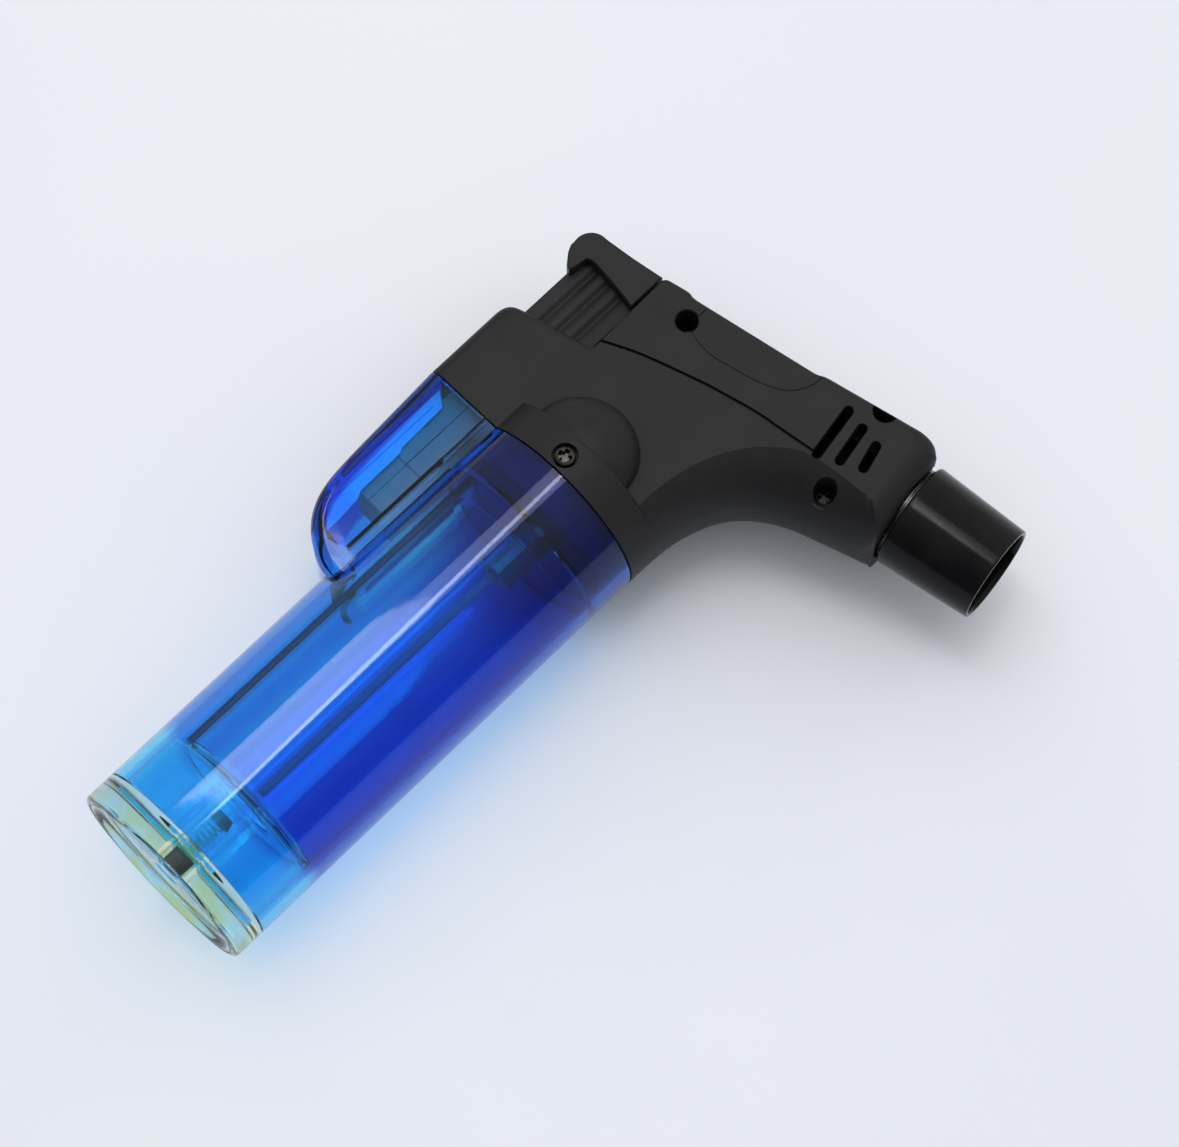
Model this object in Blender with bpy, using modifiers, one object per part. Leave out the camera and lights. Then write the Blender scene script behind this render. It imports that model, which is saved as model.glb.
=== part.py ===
"""A gun-shaped butane torch lying on its side: a see-through fuel tank that is also the handle, a
two-part black head with a thumb button at the back, and a tapered flame shroud at the front.

Torch frame: X forward (the way the flame points), Y up the handle from the base, Z out of the right
side. Lengths are in metres. The tank rests on the ground along its lowest line."""

import math

import bmesh
import bpy
from mathutils import Matrix, Vector

mm = 0.001
GAP = 0.3 * mm

# Tank, which is the handle, the liner that holds the fuel, and the pocket behind for the igniter
TANK_RADIUS = 15.0 * mm
TANK_LOW = 5.0 * mm
TANK_TOP = 76.5 * mm
CHAMBER_RADIUS = 13.3 * mm
CHAMBER_TOP = 66.5 * mm
DECK_TOP = 69.5 * mm
LINER_RADIUS = 12.0 * mm
LINER_X = 0.9 * mm
LINER_LOW = 16.0 * mm
LINER_TOP = 66.2 * mm
POCKET_HALF = 7.6 * mm
POCKET_REAR = -22.6 * mm
POCKET_FRONT = -14.3 * mm
POCKET_FLOOR = 50.5 * mm
POCKET_SHELF = 57.9 * mm
BULGE_REAR = -24.6 * mm
ROUND_SIDES = 48

# Head
PANEL_HALF = 9.5 * mm
HEAD_LOW = TANK_TOP + GAP
COLLAR_TOP = 82.4 * mm
COLLAR_BORE = 13.2 * mm
CAVITY_HALF = 7.7 * mm
DOME_SIZE = (8.4 * mm, 8.1 * mm, 5.2 * mm)
DOME_X = -0.5 * mm
COLLAR_SCREW = (-0.3 * mm, 79.0 * mm)
SPLIT = 0.15 * mm

# Flame shroud and burner, measured back from the centre of the shroud's mouth along its axis
NOZZLE_TILT = math.radians(7.5)
MOUTH = Vector((51.4 * mm, 113.05 * mm, 0))
SHROUD_MOUTH_RADIUS = 7.32 * mm
SHROUD_ROOT_RADIUS = 8.0 * mm
SHROUD_LENGTH = 15.0 * mm
SLEEVE_RADIUS = 6.9 * mm
TUBE_RADIUS = 4.3 * mm
ELECTRODE_OFFSET = Vector((0, 0, -5.45 * mm))

# Thumb button and what it works
COLUMN_HALF = 7.4 * mm
COLUMN_REAR = -22.1 * mm
COLUMN_FRONT = -11.3 * mm
COLUMN_LOW = 84.5 * mm
LEVER_PIN = Vector((-5.5 * mm, 78.6 * mm, 0))
VALVE_X = 1.0 * mm
PIEZO_X = -18.0 * mm

# Self-tapping screws
SCREW_SHANK = 0.8 * mm
SCREW_LENGTH = 8.5 * mm

CENTRE_X = (BULGE_REAR + MOUTH.x + SHROUD_MOUTH_RADIUS * math.sin(NOZZLE_TILT)) / 2
CENTRE_Y = (MOUTH.y + SHROUD_MOUTH_RADIUS * math.cos(NOZZLE_TILT)) / 2

for thing in list(bpy.data.objects):
    bpy.data.objects.remove(thing)

parts = bpy.data.collections.new("butane_torch")
cutters = bpy.data.collections.new("cutters")
bpy.context.scene.collection.children.link(parts)
bpy.context.scene.collection.children.link(cutters)
cutters.hide_render = True

torch = bpy.data.objects.new("torch", None)
torch.location = (-CENTRE_X, -CENTRE_Y, TANK_RADIUS)
parts.objects.link(torch)


def material(name, colour, roughness, metallic=0.0, transmission=0.0):
    made = bpy.data.materials.new(name)
    made.use_nodes = True
    shader = made.node_tree.nodes["Principled BSDF"]
    shader.inputs["Base Color"].default_value = (*colour, 1)
    shader.inputs["Roughness"].default_value = roughness
    shader.inputs["Metallic"].default_value = metallic
    shader.inputs["Transmission Weight"].default_value = transmission
    return made


BLACK = material("black_plastic", (0.045, 0.045, 0.047), 0.55)
GLOSS = material("gloss_black", (0.012, 0.012, 0.013), 0.15)
BLUE = material("blue_clear_plastic", (0.02, 0.16, 0.85), 0.06, transmission=0.9)
CLEAR = material("clear_plastic", (0.75, 0.85, 0.8), 0.05, transmission=0.95)
STEEL = material("steel", (0.55, 0.54, 0.52), 0.3, 1.0)
BRASS = material("brass", (0.72, 0.52, 0.2), 0.3, 1.0)
GREY = material("grey_plastic", (0.35, 0.37, 0.38), 0.5)
RUBBER = material("rubber", (0.02, 0.02, 0.02), 0.7)
CERAMIC = material("ceramic", (0.85, 0.83, 0.78), 0.4)
WICK = material("wick_fibre", (0.8, 0.8, 0.76), 0.9)
HOSE = material("hose", (0.7, 0.66, 0.55), 0.4)


def add(name, mesh, look=None, at=(0, 0, 0), turn=None):
    """An object in the torch frame: a part with a material, or a hidden cutter without one."""
    piece = bpy.data.objects.new(name, mesh)
    (parts if look else cutters).objects.link(piece)
    piece.parent = torch
    piece.location = at
    if turn:
        piece.rotation_euler = turn
    if look:
        mesh.materials.append(look)
    else:
        piece.hide_render = True
        piece.display_type = "WIRE"
    return piece


def mesh_from(name, build):
    mesh = bpy.data.meshes.new(name)
    shape = bmesh.new()
    build(shape)
    bmesh.ops.recalc_face_normals(shape, faces=shape.faces)
    shape.to_mesh(mesh)
    shape.free()
    return mesh


def box(name, low, high, look=None):
    """A box between two corners, given in the torch frame."""
    centre = (Vector(low) + Vector(high)) / 2
    size = Vector(high) - Vector(low)

    def build(shape):
        bmesh.ops.create_cube(shape, size=1)
        bmesh.ops.scale(shape, vec=size, verts=shape.verts)

    return add(name, mesh_from(name, build), look, centre)


def cylinder(name, radius, start, end, look=None, sides=ROUND_SIDES):
    """A cylinder between two points of the torch frame."""
    run = Vector(end) - Vector(start)

    def build(shape):
        bmesh.ops.create_cone(
            shape, cap_ends=True, segments=sides, radius1=radius, radius2=radius, depth=run.length
        )

    turn = run.to_track_quat("Z", "Y").to_euler()
    return add(name, mesh_from(name, build), look, (Vector(start) + Vector(end)) / 2, turn)


def turned(name, profile, base, direction, look=None, steps=32):
    """A profile of (radius, height) points turned about an axis. The profile starts at the top and runs
    down the outer side; one that doesn't reach the axis is closed into a ring."""
    mesh = bpy.data.meshes.new(name)
    points = [(radius, 0, height) for radius, height in profile]
    ring = min(radius for radius, _ in profile) > 0
    edges = [(i, i + 1) for i in range(len(points) - 1)]
    if ring:
        edges.append((len(points) - 1, 0))
    mesh.from_pydata(points, edges, [])
    piece = add(name, mesh, look, base, Vector(direction).to_track_quat("Z", "Y").to_euler())
    screw = piece.modifiers.new("turn", "SCREW")
    screw.axis = "Z"
    screw.steps = screw.render_steps = steps
    screw.use_merge_vertices = True
    screw.merge_threshold = 0.00001
    screw.use_smooth_shade = True
    return piece


def plate(name, outline, low, high, look=None):
    """A flat outline in X and Y, filled and extruded between two heights in Z, as a mesh."""
    curve = bpy.data.curves.new(name, "CURVE")
    curve.dimensions = "2D"
    curve.fill_mode = "BOTH"
    curve.extrude = (high - low) / 2
    line = curve.splines.new("POLY")
    line.points.add(len(outline) - 1)
    for point, (x, y) in zip(line.points, outline):
        point.co = (x, y, 0, 1)
    line.use_cyclic_u = True
    return meshed(name, curve, look, (0, 0, (low + high) / 2))


def meshed(name, curve, look, at=(0, 0, 0)):
    """A curve's evaluated shape as a welded mesh object."""
    guide = bpy.data.objects.new(name + "_guide", curve)
    bpy.context.scene.collection.objects.link(guide)
    bpy.context.view_layer.update()
    mesh = bpy.data.meshes.new_from_object(guide.evaluated_get(bpy.context.evaluated_depsgraph_get()))
    bpy.data.objects.remove(guide)
    shape = bmesh.new()
    shape.from_mesh(mesh)
    bmesh.ops.remove_doubles(shape, verts=shape.verts, dist=0.00001)
    bmesh.ops.recalc_face_normals(shape, faces=shape.faces)
    shape.to_mesh(mesh)
    shape.free()
    mesh.materials.clear()
    return add(name, mesh, look, at)


def wire(name, points, radius, look):
    """A round wire, hose or lead through the points of the torch frame."""
    curve = bpy.data.curves.new(name, "CURVE")
    curve.dimensions = "3D"
    curve.bevel_depth = radius
    curve.bevel_resolution = 2
    curve.use_fill_caps = True
    line = curve.splines.new("POLY")
    line.points.add(len(points) - 1)
    for point, place in zip(line.points, points):
        point.co = (*place, 1)
    return meshed(name, curve, look)


def smooth_route(points, between=3):
    """Points on a Catmull-Rom curve through the given ones, of any number of values each."""
    rows = [tuple(point) for point in points]
    ends = [rows[0], *rows, rows[-1]]
    route = []
    for a, b, c, d in zip(ends, ends[1:], ends[2:], ends[3:]):
        for step in range(between):
            t = step / between
            route.append(tuple(
                q + 0.5 * t * (r - p + t * (2 * p - 5 * q + 4 * r - s + t * (3 * q - p - 3 * r + s)))
                for p, q, r, s in zip(a, b, c, d)
            ))
    route.append(rows[-1])
    return route


def coil(name, centre, radius, wire_radius, turns, look, per_turn=8):
    """A spring wound about the Y direction, between the heights in centre = (x, low y, high y, z)."""
    x, low, high, z = centre
    count = turns * per_turn
    points = []
    for i in range(count + 1):
        angle = 2 * math.pi * i / per_turn
        height = low + wire_radius + (high - low - 2 * wire_radius) * i / count
        points.append((x + radius * math.cos(angle), height, z + radius * math.sin(angle)))
    return wire(name, points, wire_radius, look)


def boolean(piece, tool, operation="DIFFERENCE"):
    cut = piece.modifiers.new(f"{operation.lower()}_{tool.name}", "BOOLEAN")
    cut.operation = operation
    cut.solver = "EXACT"
    cut.object = tool


def round_edges(piece, width, segments=2, angle=40):
    bevel = piece.modifiers.new("rounding", "BEVEL")
    bevel.width = width
    bevel.segments = segments
    bevel.limit_method = "ANGLE"
    bevel.angle_limit = math.radians(angle)


def arc(centre_x, centre_y, radius, start, end, count):
    """Points on an arc in X and Y, with its ends in degrees."""
    return [
        (
            centre_x + radius * math.cos(math.radians(start + (end - start) * i / count)),
            centre_y + radius * math.sin(math.radians(start + (end - start) * i / count)),
        )
        for i in range(count + 1)
    ]


def on_axis(back, up=0.0):
    """A point of the burner axis, a distance back from the mouth and another above the axis."""
    along = Vector((math.cos(NOZZLE_TILT), math.sin(NOZZLE_TILT), 0))
    above = Vector((-math.sin(NOZZLE_TILT), math.cos(NOZZLE_TILT), 0))
    return MOUTH - along * back + above * up


NOZZLE_AXIS = on_axis(0) - on_axis(1)


# Tank -------------------------------------------------------------------------------------------------

def make_tank():
    tank = cylinder("fuel_tank", TANK_RADIUS, (0, TANK_LOW, 0), (0, TANK_TOP, 0), BLUE)
    corner = 10.2 * mm
    low_edge = [(-8 * mm, 44.2 * mm), (-13.2 * mm, 45.0 * mm)]
    heel = arc(BULGE_REAR + 1.2 * mm + corner, 55.3 * mm, corner, 258, 180, 8)
    outline = [*low_edge, *heel, (BULGE_REAR, TANK_TOP), (-8 * mm, TANK_TOP)]
    bulge = plate("tank_bulge", outline, -PANEL_HALF, PANEL_HALF)
    round_edges(bulge, 2.0 * mm)
    trim = box("tank_trim", (-40 * mm, TANK_TOP, -20 * mm), (10 * mm, 90 * mm, 20 * mm))
    boolean(tank, bulge, "UNION")
    boolean(tank, trim)
    low = (0, TANK_LOW - 2 * mm, 0)
    boolean(tank, cylinder("chamber", CHAMBER_RADIUS, low, (0, CHAMBER_TOP, 0)))
    high = (0, TANK_TOP + 2 * mm, 0)
    boolean(tank, cylinder("valve_cup", CHAMBER_RADIUS, (0, DECK_TOP, 0), high))
    through = ((VALVE_X, CHAMBER_TOP - 2 * mm, 0), (VALVE_X, DECK_TOP + 2 * mm, 0))
    boolean(tank, cylinder("valve_hole", 3.4 * mm, *through, sides=24))
    pocket = ((POCKET_REAR, POCKET_SHELF, -POCKET_HALF), (POCKET_FRONT, TANK_TOP + 2 * mm, POCKET_HALF))
    boolean(tank, box("igniter_pocket", *pocket))
    rib = 0.6 * mm
    for name, start, end in (
        ("rear_hollow", POCKET_REAR, PIEZO_X - rib),
        ("front_hollow", PIEZO_X + rib, POCKET_FRONT),
    ):
        corners = ((start, POCKET_FLOOR, -POCKET_HALF), (end, POCKET_SHELF + 1 * mm, POCKET_HALF))
        boolean(tank, box(name, *corners))


def make_liner():
    wall = 0.6 * mm
    inner, hole = LINER_RADIUS - wall, 5.0 * mm
    profile = [(LINER_RADIUS, LINER_TOP), (LINER_RADIUS, LINER_LOW + wall), (LINER_RADIUS - wall, LINER_LOW),
               (hole, LINER_LOW), (hole, LINER_LOW + wall), (inner, LINER_LOW + wall), (inner, LINER_TOP)]
    turned("fuel_liner", profile, (LINER_X, 0, 0), (0, 1, 0), BLUE, 40)


def make_base():
    flange = 4.7 * mm
    floor = 2.8 * mm
    profile = [
        (13.0, 15.7), (13.0, flange / mm), (15.0, flange / mm), (15.0, 0.5), (14.5, 0.0), (13.2, 0.0),
        (12.7, 0.5), (12.5, floor / mm), (2.2, floor / mm), (2.2, 14.0), (4.4, 14.0), (4.4, 5.4),
        (11.4, 5.4), (11.4, 15.7),
    ]
    turned("base_plug", [(r * mm, h * mm) for r, h in profile], (0, 0, 0), (0, 1, 0), CLEAR, 40)

    valve = [(1.9, 12.2), (1.9, 1.4), (1.7, 1.2), (0.95, 1.2), (0.95, 3.2), (1.45, 3.2), (1.45, 10.8),
             (0.5, 10.8), (0.5, 12.2)]
    turned("fill_valve_body", [(r * mm, h * mm) for r, h in valve], (0, 0, 0), (0, 1, 0), BRASS, 16)
    stem = [(0, 7.2), (0.5, 7.2), (0.5, 5.0), (1.15, 5.0), (1.15, 4.2), (0.65, 4.2), (0.65, 1.5), (0, 1.5)]
    turned("fill_valve_stem", [(r * mm, h * mm) for r, h in stem], (0, 0, 0), (0, 1, 0), BRASS, 16)
    seal = [(1.2, 3.9), (1.2, 3.5), (0.95, 3.5), (0.95, 3.9)]
    turned("fill_valve_seal", [(r * mm, h * mm) for r, h in seal], (0, 0, 0), (0, 1, 0), RUBBER, 16)
    coil("fill_valve_spring", (0, 6.9 * mm, 10.4 * mm, 0), 1.0 * mm, 0.14 * mm, 4, STEEL)


# Gas valve, lever and carrier -------------------------------------------------------------------------

def make_gas_valve():
    at = (VALVE_X, 0, 0)
    up = (0, 1, 0)
    body = [(3.1, 73.4), (3.1, 71.2), (4.3, 71.2), (4.3, 69.8), (3.1, 69.8), (3.1, 63.0), (1.0, 63.0),
            (1.0, 65.5), (1.6, 65.5), (1.6, 72.0), (1.2, 72.0), (1.2, 73.4)]
    turned("gas_valve_body", [(r * mm, h * mm) for r, h in body], at, up, BRASS, 16)
    stem = [(0, 86.4), (0.6, 86.4), (0.9, 85.9), (0.9, 80.3), (1.9, 80.3), (1.9, 79.5), (0.9, 79.5),
            (0.9, 68.2), (1.2, 68.2), (1.2, 67.0), (0, 67.0)]
    turned("gas_valve_stem", [(r * mm, h * mm) for r, h in stem], at, up, BRASS, 20)
    seal = [(1.3, 66.7), (1.3, 65.9), (0.5, 65.9), (0.5, 66.7)]
    turned("gas_valve_seal", [(r * mm, h * mm) for r, h in seal], at, up, RUBBER, 16)
    wick = [(0, 65.2), (0.7, 65.2), (0.7, 18.0), (0, 18.0)]
    turned("fuel_wick", [(r * mm, h * mm) for r, h in wick], at, up, WICK, 12)
    coil("gas_valve_spring", (VALVE_X, 81.5 * mm, 84.5 * mm, 0), 1.5 * mm, 0.2 * mm, 3, STEEL)


def make_lever():
    rear, front = -12.9 * mm, 3.2 * mm
    half = 2.6 * mm
    outline = [(rear, 77.9 * mm), (front, 78.0 * mm), (front, 79.2 * mm), (-4 * mm, 79.2 * mm),
               (-4.4 * mm, 80.2 * mm), (-6.6 * mm, 80.2 * mm), (-7 * mm, 79.2 * mm), (rear, 79.2 * mm)]
    moved = [(x - LEVER_PIN.x, y - LEVER_PIN.y) for x, y in outline]
    lever = plate("gas_lever", moved, -half, half, STEEL)
    lever.location = LEVER_PIN
    boolean(lever, cylinder("lever_eye", 1.0 * mm, LEVER_PIN - Vector((0, 0, 9 * mm)),
                            LEVER_PIN + Vector((0, 0, 9 * mm)), sides=20))
    slot = 1.3 * mm
    boolean(lever, box("fork_slot", (VALVE_X - slot, 70 * mm, -slot), (front + 2 * mm, 90 * mm, slot)))
    reach = Vector((0, 0, 6.5 * mm))
    cylinder("lever_pin", 0.7 * mm, LEVER_PIN - reach, LEVER_PIN + reach, STEEL, 16)


def make_carrier():
    carrier = cylinder("valve_carrier", 12.9 * mm, (0, 71.9 * mm, 0), (0, 81.2 * mm, 0), BLACK)
    cheek = 6.9 * mm
    bridge = box("bridge", (-3 * mm, 79 * mm, -cheek), (5 * mm, 86 * mm, cheek))
    boolean(carrier, bridge, "UNION")
    channel = 4.4 * mm
    boolean(carrier, box("lever_channel", (-20 * mm, 76 * mm, -channel), (9 * mm, 84.8 * mm, channel)))
    for name, radius, low, high in (
        ("valve_well", 3.5, 71.0, 77.0),
        ("flange_well", 4.7, 70.0, 72.6),
        ("stem_hole", 1.3, 84.0, 87.0),
    ):
        ends = ((VALVE_X, low * mm, 0), (VALVE_X, high * mm, 0))
        boolean(carrier, cylinder(name, radius * mm, *ends, sides=24))
    boolean(carrier, box("column_room", (-20 * mm, 77.9 * mm, -20 * mm), (-10.2 * mm, 90 * mm, 20 * mm)))
    reach = Vector((0, 0, 7.0 * mm))
    boolean(carrier, cylinder("pin_hole", 1.0 * mm, LEVER_PIN - reach, LEVER_PIN + reach, sides=20))
    for side in (-1, 1):
        ends = ((*COLLAR_SCREW, side * 7.6 * mm), (*COLLAR_SCREW, side * 14 * mm))
        boolean(carrier, cylinder(f"screw_way_{side}", SCREW_SHANK + GAP, *ends, sides=16))


# Igniter and thumb button -----------------------------------------------------------------------------

def make_igniter():
    low, top = 58.2 * mm, 78.0 * mm
    half_x, half_z = 3.3 * mm, 4.8 * mm
    body = box("piezo_body", (PIEZO_X - half_x, low + 3 * mm, -half_z), (PIEZO_X + half_x, top, half_z), GREY)
    tail = ((PIEZO_X - 2.2 * mm, low, -3.4 * mm), (PIEZO_X + 2.2 * mm, low + 4 * mm, 3.4 * mm))
    boolean(body, box("piezo_tail", *tail), "UNION")
    bore_x, bore_z = 2.6 * mm, 4.1 * mm
    bore = ((PIEZO_X - bore_x, 61.9 * mm, -bore_z), (PIEZO_X + bore_x, 80 * mm, bore_z))
    boolean(body, box("piezo_bore", *bore))
    slide_x, slide_z = bore_x - 0.4 * mm, bore_z - 0.4 * mm
    plunger = ((PIEZO_X - slide_x, 70.5 * mm, -slide_z), (PIEZO_X + slide_x, 88 * mm, slide_z))
    box("piezo_plunger", *plunger, GREY)
    coil("piezo_spring", (PIEZO_X, 62.2 * mm, 64.2 * mm, 0), 1.6 * mm, 0.25 * mm, 3, STEEL)
    lead = [(-18.0, 60.0, -5.5), (-17.3, 62.5, -6.2), (-15.2, 66.0, -6.3), (-15.2, 74.5, -6.3),
            (-14.6, 77.3, -5.5), (-12.2, 77.5, -3.9), (-6.0, 77.1, -3.8), (4.0, 77.2, -3.8),
            (7.4, 79.0, -3.7), (8.0, 84.0, -3.6), (8.6, 92.0, -3.6), (10.5, 99.0, -4.0), (13.5, 105.0, -5.0)]
    joined = on_axis(32.0 * mm) + ELECTRODE_OFFSET
    route = [(x * mm, y * mm, z * mm) for x, y, z in lead] + [tuple(joined)]
    wire("ignition_lead", smooth_route(route, 2), 0.45 * mm, RUBBER)


def make_button():
    column = ((COLUMN_REAR, COLUMN_LOW, -COLUMN_HALF), (COLUMN_FRONT, 104.6 * mm, COLUMN_HALF))
    button = box("ignition_button", *column, BLACK)
    button.data.transform(Matrix.Translation(button.location))
    button.location = (0, 0, 0)
    nose = arc(-21.4 * mm, 105.5 * mm, 2.8 * mm, 190, 84, 7)
    outline = [(-20.6 * mm, 104.1 * mm), (-21.4 * mm, 101.1 * mm), (-22.6 * mm, 101.7 * mm), *nose,
               (-16.4 * mm, 108.8 * mm), (-11.3 * mm, 109.6 * mm), (-11.3 * mm, 103.2 * mm)]
    cap = plate("button_cap", outline, -PANEL_HALF, PANEL_HALF)
    round_edges(cap, 0.8 * mm)
    boolean(button, cap, "UNION")
    first, pitch = -19.9 * mm, 2.5 * mm
    for number in range(4):
        for side in (-1, 1):
            x = first + pitch * number
            z = side * (COLUMN_HALF + 0.35 * mm)
            ends = ((x, 80 * mm, z), (x, 102.8 * mm, z))
            boolean(button, cylinder(f"grip_groove_{number}_{side}", 0.8 * mm, *ends, sides=12))
    seat = ((PIEZO_X - 2.9 * mm, 80 * mm, -4.3 * mm), (PIEZO_X + 2.9 * mm, 88.3 * mm, 4.3 * mm))
    boolean(button, box("plunger_seat", *seat))


# Burner -----------------------------------------------------------------------------------------------

def make_burner():
    shroud = [(7.02, 0.0), (SHROUD_MOUTH_RADIUS / mm, -0.3), (SHROUD_ROOT_RADIUS / mm, -SHROUD_LENGTH / mm),
              (7.2, -SHROUD_LENGTH / mm), (7.2, -11.6), (6.4, -11.0), (6.4, 0.0)]
    turned("nozzle_shroud", [(r * mm, h * mm) for r, h in shroud], MOUTH, NOZZLE_AXIS, GLOSS, 40)
    sleeve = [(6.9, -12.0), (6.9, -15.3), (7.4, -15.3), (7.4, -15.9), (6.9, -15.9), (6.9, -20.0),
              (6.4, -20.0), (6.4, -12.0)]
    turned("nozzle_ring", [(r * mm, h * mm) for r, h in sleeve], MOUTH, NOZZLE_AXIS, STEEL, 28)
    tube = [(3.6, -8.5), (TUBE_RADIUS / mm, -8.5), (TUBE_RADIUS / mm, -31.0), (1.9, -31.0), (1.9, -29.5),
            (3.6, -28.5)]
    turned("mixing_tube", [(r * mm, h * mm) for r, h in tube], MOUTH, NOZZLE_AXIS, BRASS, 24)
    disc = [(0, -9.4), (3.3, -9.4), (3.3, -12.0), (0, -12.0)]
    holder = turned("flame_holder", [(r * mm, h * mm) for r, h in disc], MOUTH, NOZZLE_AXIS, STEEL, 24)
    for number in range(6):
        angle = math.tau * number / 6
        ring = 2.0 * mm
        offset = Vector((0, 0, ring * math.sin(angle)))
        start, end = (on_axis(back, ring * math.cos(angle)) + offset for back in (14 * mm, 8 * mm))
        boolean(holder, cylinder(f"flame_port_{number}", 0.55 * mm, start, end, sides=10))
    jet = [(0, -29.9), (0.9, -29.9), (1.5, -30.4), (1.5, -31.4), (2.6, -31.6), (2.6, -34.0), (1.1, -34.2),
           (1.1, -36.6), (0, -36.6)]
    turned("burner_jet", [(r * mm, h * mm) for r, h in jet], MOUTH, NOZZLE_AXIS, BRASS, 20)
    tail = on_axis(37.2 * mm)
    hose = [(1.0, 87.8, 0), (1.0, 90.5, 0), (1.6, 94.0, 0), (3.6, 98.4, 0), (6.6, 102.6, 0), (10.4, 106.4, 0)]
    route = [(x * mm, y * mm, z * mm) for x, y, z in hose] + [tuple(tail)]
    wire("gas_hose", smooth_route(route, 2), 1.1 * mm, HOSE)
    tube = [(0.7, -9.5), (0.7, -30.5), (0.55, -30.5), (0.55, -9.5)]
    beside = MOUTH + ELECTRODE_OFFSET
    turned("electrode_insulator", [(r * mm, h * mm) for r, h in tube], beside, NOZZLE_AXIS, CERAMIC, 16)
    ends = (on_axis(31.2 * mm) + ELECTRODE_OFFSET, on_axis(7.6 * mm) + ELECTRODE_OFFSET)
    cylinder("electrode_pin", 0.25 * mm, *ends, STEEL, 10)


# Head shells ------------------------------------------------------------------------------------------

# Each row is a station round the head's side: where its middle plane ends (x, y), where the flat side
# panel ends (x, y), how far the rounding between them reaches in Z, and the crease where the rounding
# leaves the panel, in degrees.
HEAD_BACK = (
    (-24.5, 70.0, -22.6, 70.0, 2.0, 0),
    (-24.5, 89.6, -22.7, 89.0, 1.9, 0),
    (-24.1, 91.0, -22.5, 90.1, 1.7, 0),
    (-23.3, 91.7, -22.0, 90.8, 1.4, 0),
    (-22.2, 92.1, -21.2, 91.3, 1.2, 0),
    (-11.0, 94.5, -10.7, 94.0, 0.6, 0),
    (-10.6, 94.9, -10.1, 94.4, 0.5, 0),
    (-11.0, 109.5, -10.3, 108.9, 0.5, 0),
    (-10.5, 110.0, -9.7, 109.2, 0.9, 0),
    (-6.9, 110.9, -6.8, 109.9, 1.2, 0),
    (-6.0, 110.6, -5.9, 109.6, 1.2, 0),
    (14.7, 114.45, 14.8, 113.5, 1.2, 0),
    (15.7, 115.1, 15.7, 114.1, 1.2, 0),
    (31.6, 118.8, 29.8, 117.1, 2.0, 0),
    (33.5, 118.7, 30.6, 116.5, 2.4, 0),
    (34.9, 117.6, 31.4, 115.4, 2.6, 0),
)
HEAD_BELLY = (
    (35.3, 116.0, 31.6, 114.5, 2.6, 0),
    (36.9, 104.1, 32.8, 107.0, 3.4, 5),
    (36.7, 102.1, 32.3, 106.0, 6.0, 15),
    (34.9, 100.8, 31.0, 105.6, 9.0, 20),
    (30.1, 99.3, 26.5, 105.4, 9.2, 25),
    (25.7, 98.0, 21.5, 104.4, 9.2, 25),
    (21.5, 95.6, 16.9, 100.9, 9.2, 25),
    (18.3, 92.4, 13.6, 96.2, 9.2, 25),
    (16.4, 88.4, 11.7, 91.2, 9.2, 25),
    (15.4, 84.4, 10.8, 85.5, 9.2, 25),
    (15.0, 79.0, 10.9, 79.0, 9.2, 25),
    (15.0, 70.0, 11.2, 70.0, 9.2, 20),
)


def head_rings(arc_steps=4):
    """Closed outlines of the head's solid from its right panel to its left one, as lists of points."""
    stations = list(HEAD_BACK) + smooth_route(HEAD_BELLY, 2)
    levels = [90 * i / arc_steps for i in range(arc_steps + 1)]
    rings = []
    for side, order in ((1, levels), (-1, levels[::-1])):
        for level in order:
            ring = []
            for outer_x, outer_y, panel_x, panel_y, depth, crease in stations:
                start = math.radians(crease)
                angle = start + (math.pi / 2 - start) * level / 90
                reach = (math.sin(angle) - math.sin(start)) / (1 - math.sin(start))
                drop = math.cos(angle) / math.cos(start)
                height = PANEL_HALF / mm - depth * (1 - drop)
                ring.append(Vector((
                    (panel_x + (outer_x - panel_x) * reach) * mm,
                    (panel_y + (outer_y - panel_y) * reach) * mm,
                    side * height * mm,
                )))
            rings.append(ring)
    return rings


def head_solid():
    def build(shape):
        rings = [[shape.verts.new(point) for point in ring] for ring in head_rings()]
        for upper, lower in zip(rings, rings[1:]):
            for i in range(len(upper)):
                j = (i + 1) % len(upper)
                shape.faces.new((upper[i], upper[j], lower[j], lower[i]))
        shape.faces.new(rings[0][::-1])
        shape.faces.new(rings[-1])
        bmesh.ops.triangulate(shape, faces=[f for f in shape.faces if len(f.verts) > 4])

    return mesh_from("head_solid", build)


CAVITY = (
    (-22.7, 74.0), (-22.7, 96.0), (-10.9, 96.0), (-10.9, 93.2), (-8.6, 93.2), (-8.6, 107.6), (14.0, 112.2),
    (30.0, 115.6), (31.4, 114.0), (32.4, 108.0), (31.5, 105.4), (24.0, 104.3), (20.0, 102.9), (15.0, 97.3),
    (11.5, 92.0), (10.0, 88.0), (9.8, 74.0),
)
SLOTS = (((23.0, 105.5), (21.7, 113.3)), ((26.0, 107.0), (24.9, 112.7)), ((29.1, 108.5), (28.1, 112.1)))
# Screw bosses inside the shells: x, y and how far each reaches to either side
BOSSES = ((-4.0, 107.2, 7.9), (27.3, 102.8, 6.0))
NOTCH = (25.4 * mm, 116.95 * mm)
SPINE_SLOPE = 13.0


def slot_outline(start, end, width):
    """A slot with round ends, between the centres of its ends."""
    (x0, y0), (x1, y1) = start, end
    heading = math.degrees(math.atan2(y1 - y0, x1 - x0))
    far = arc(x1 * mm, y1 * mm, width / 2, heading - 90, heading + 90, 6)
    near = arc(x0 * mm, y0 * mm, width / 2, heading + 90, heading + 270, 6)
    return far + near


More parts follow.
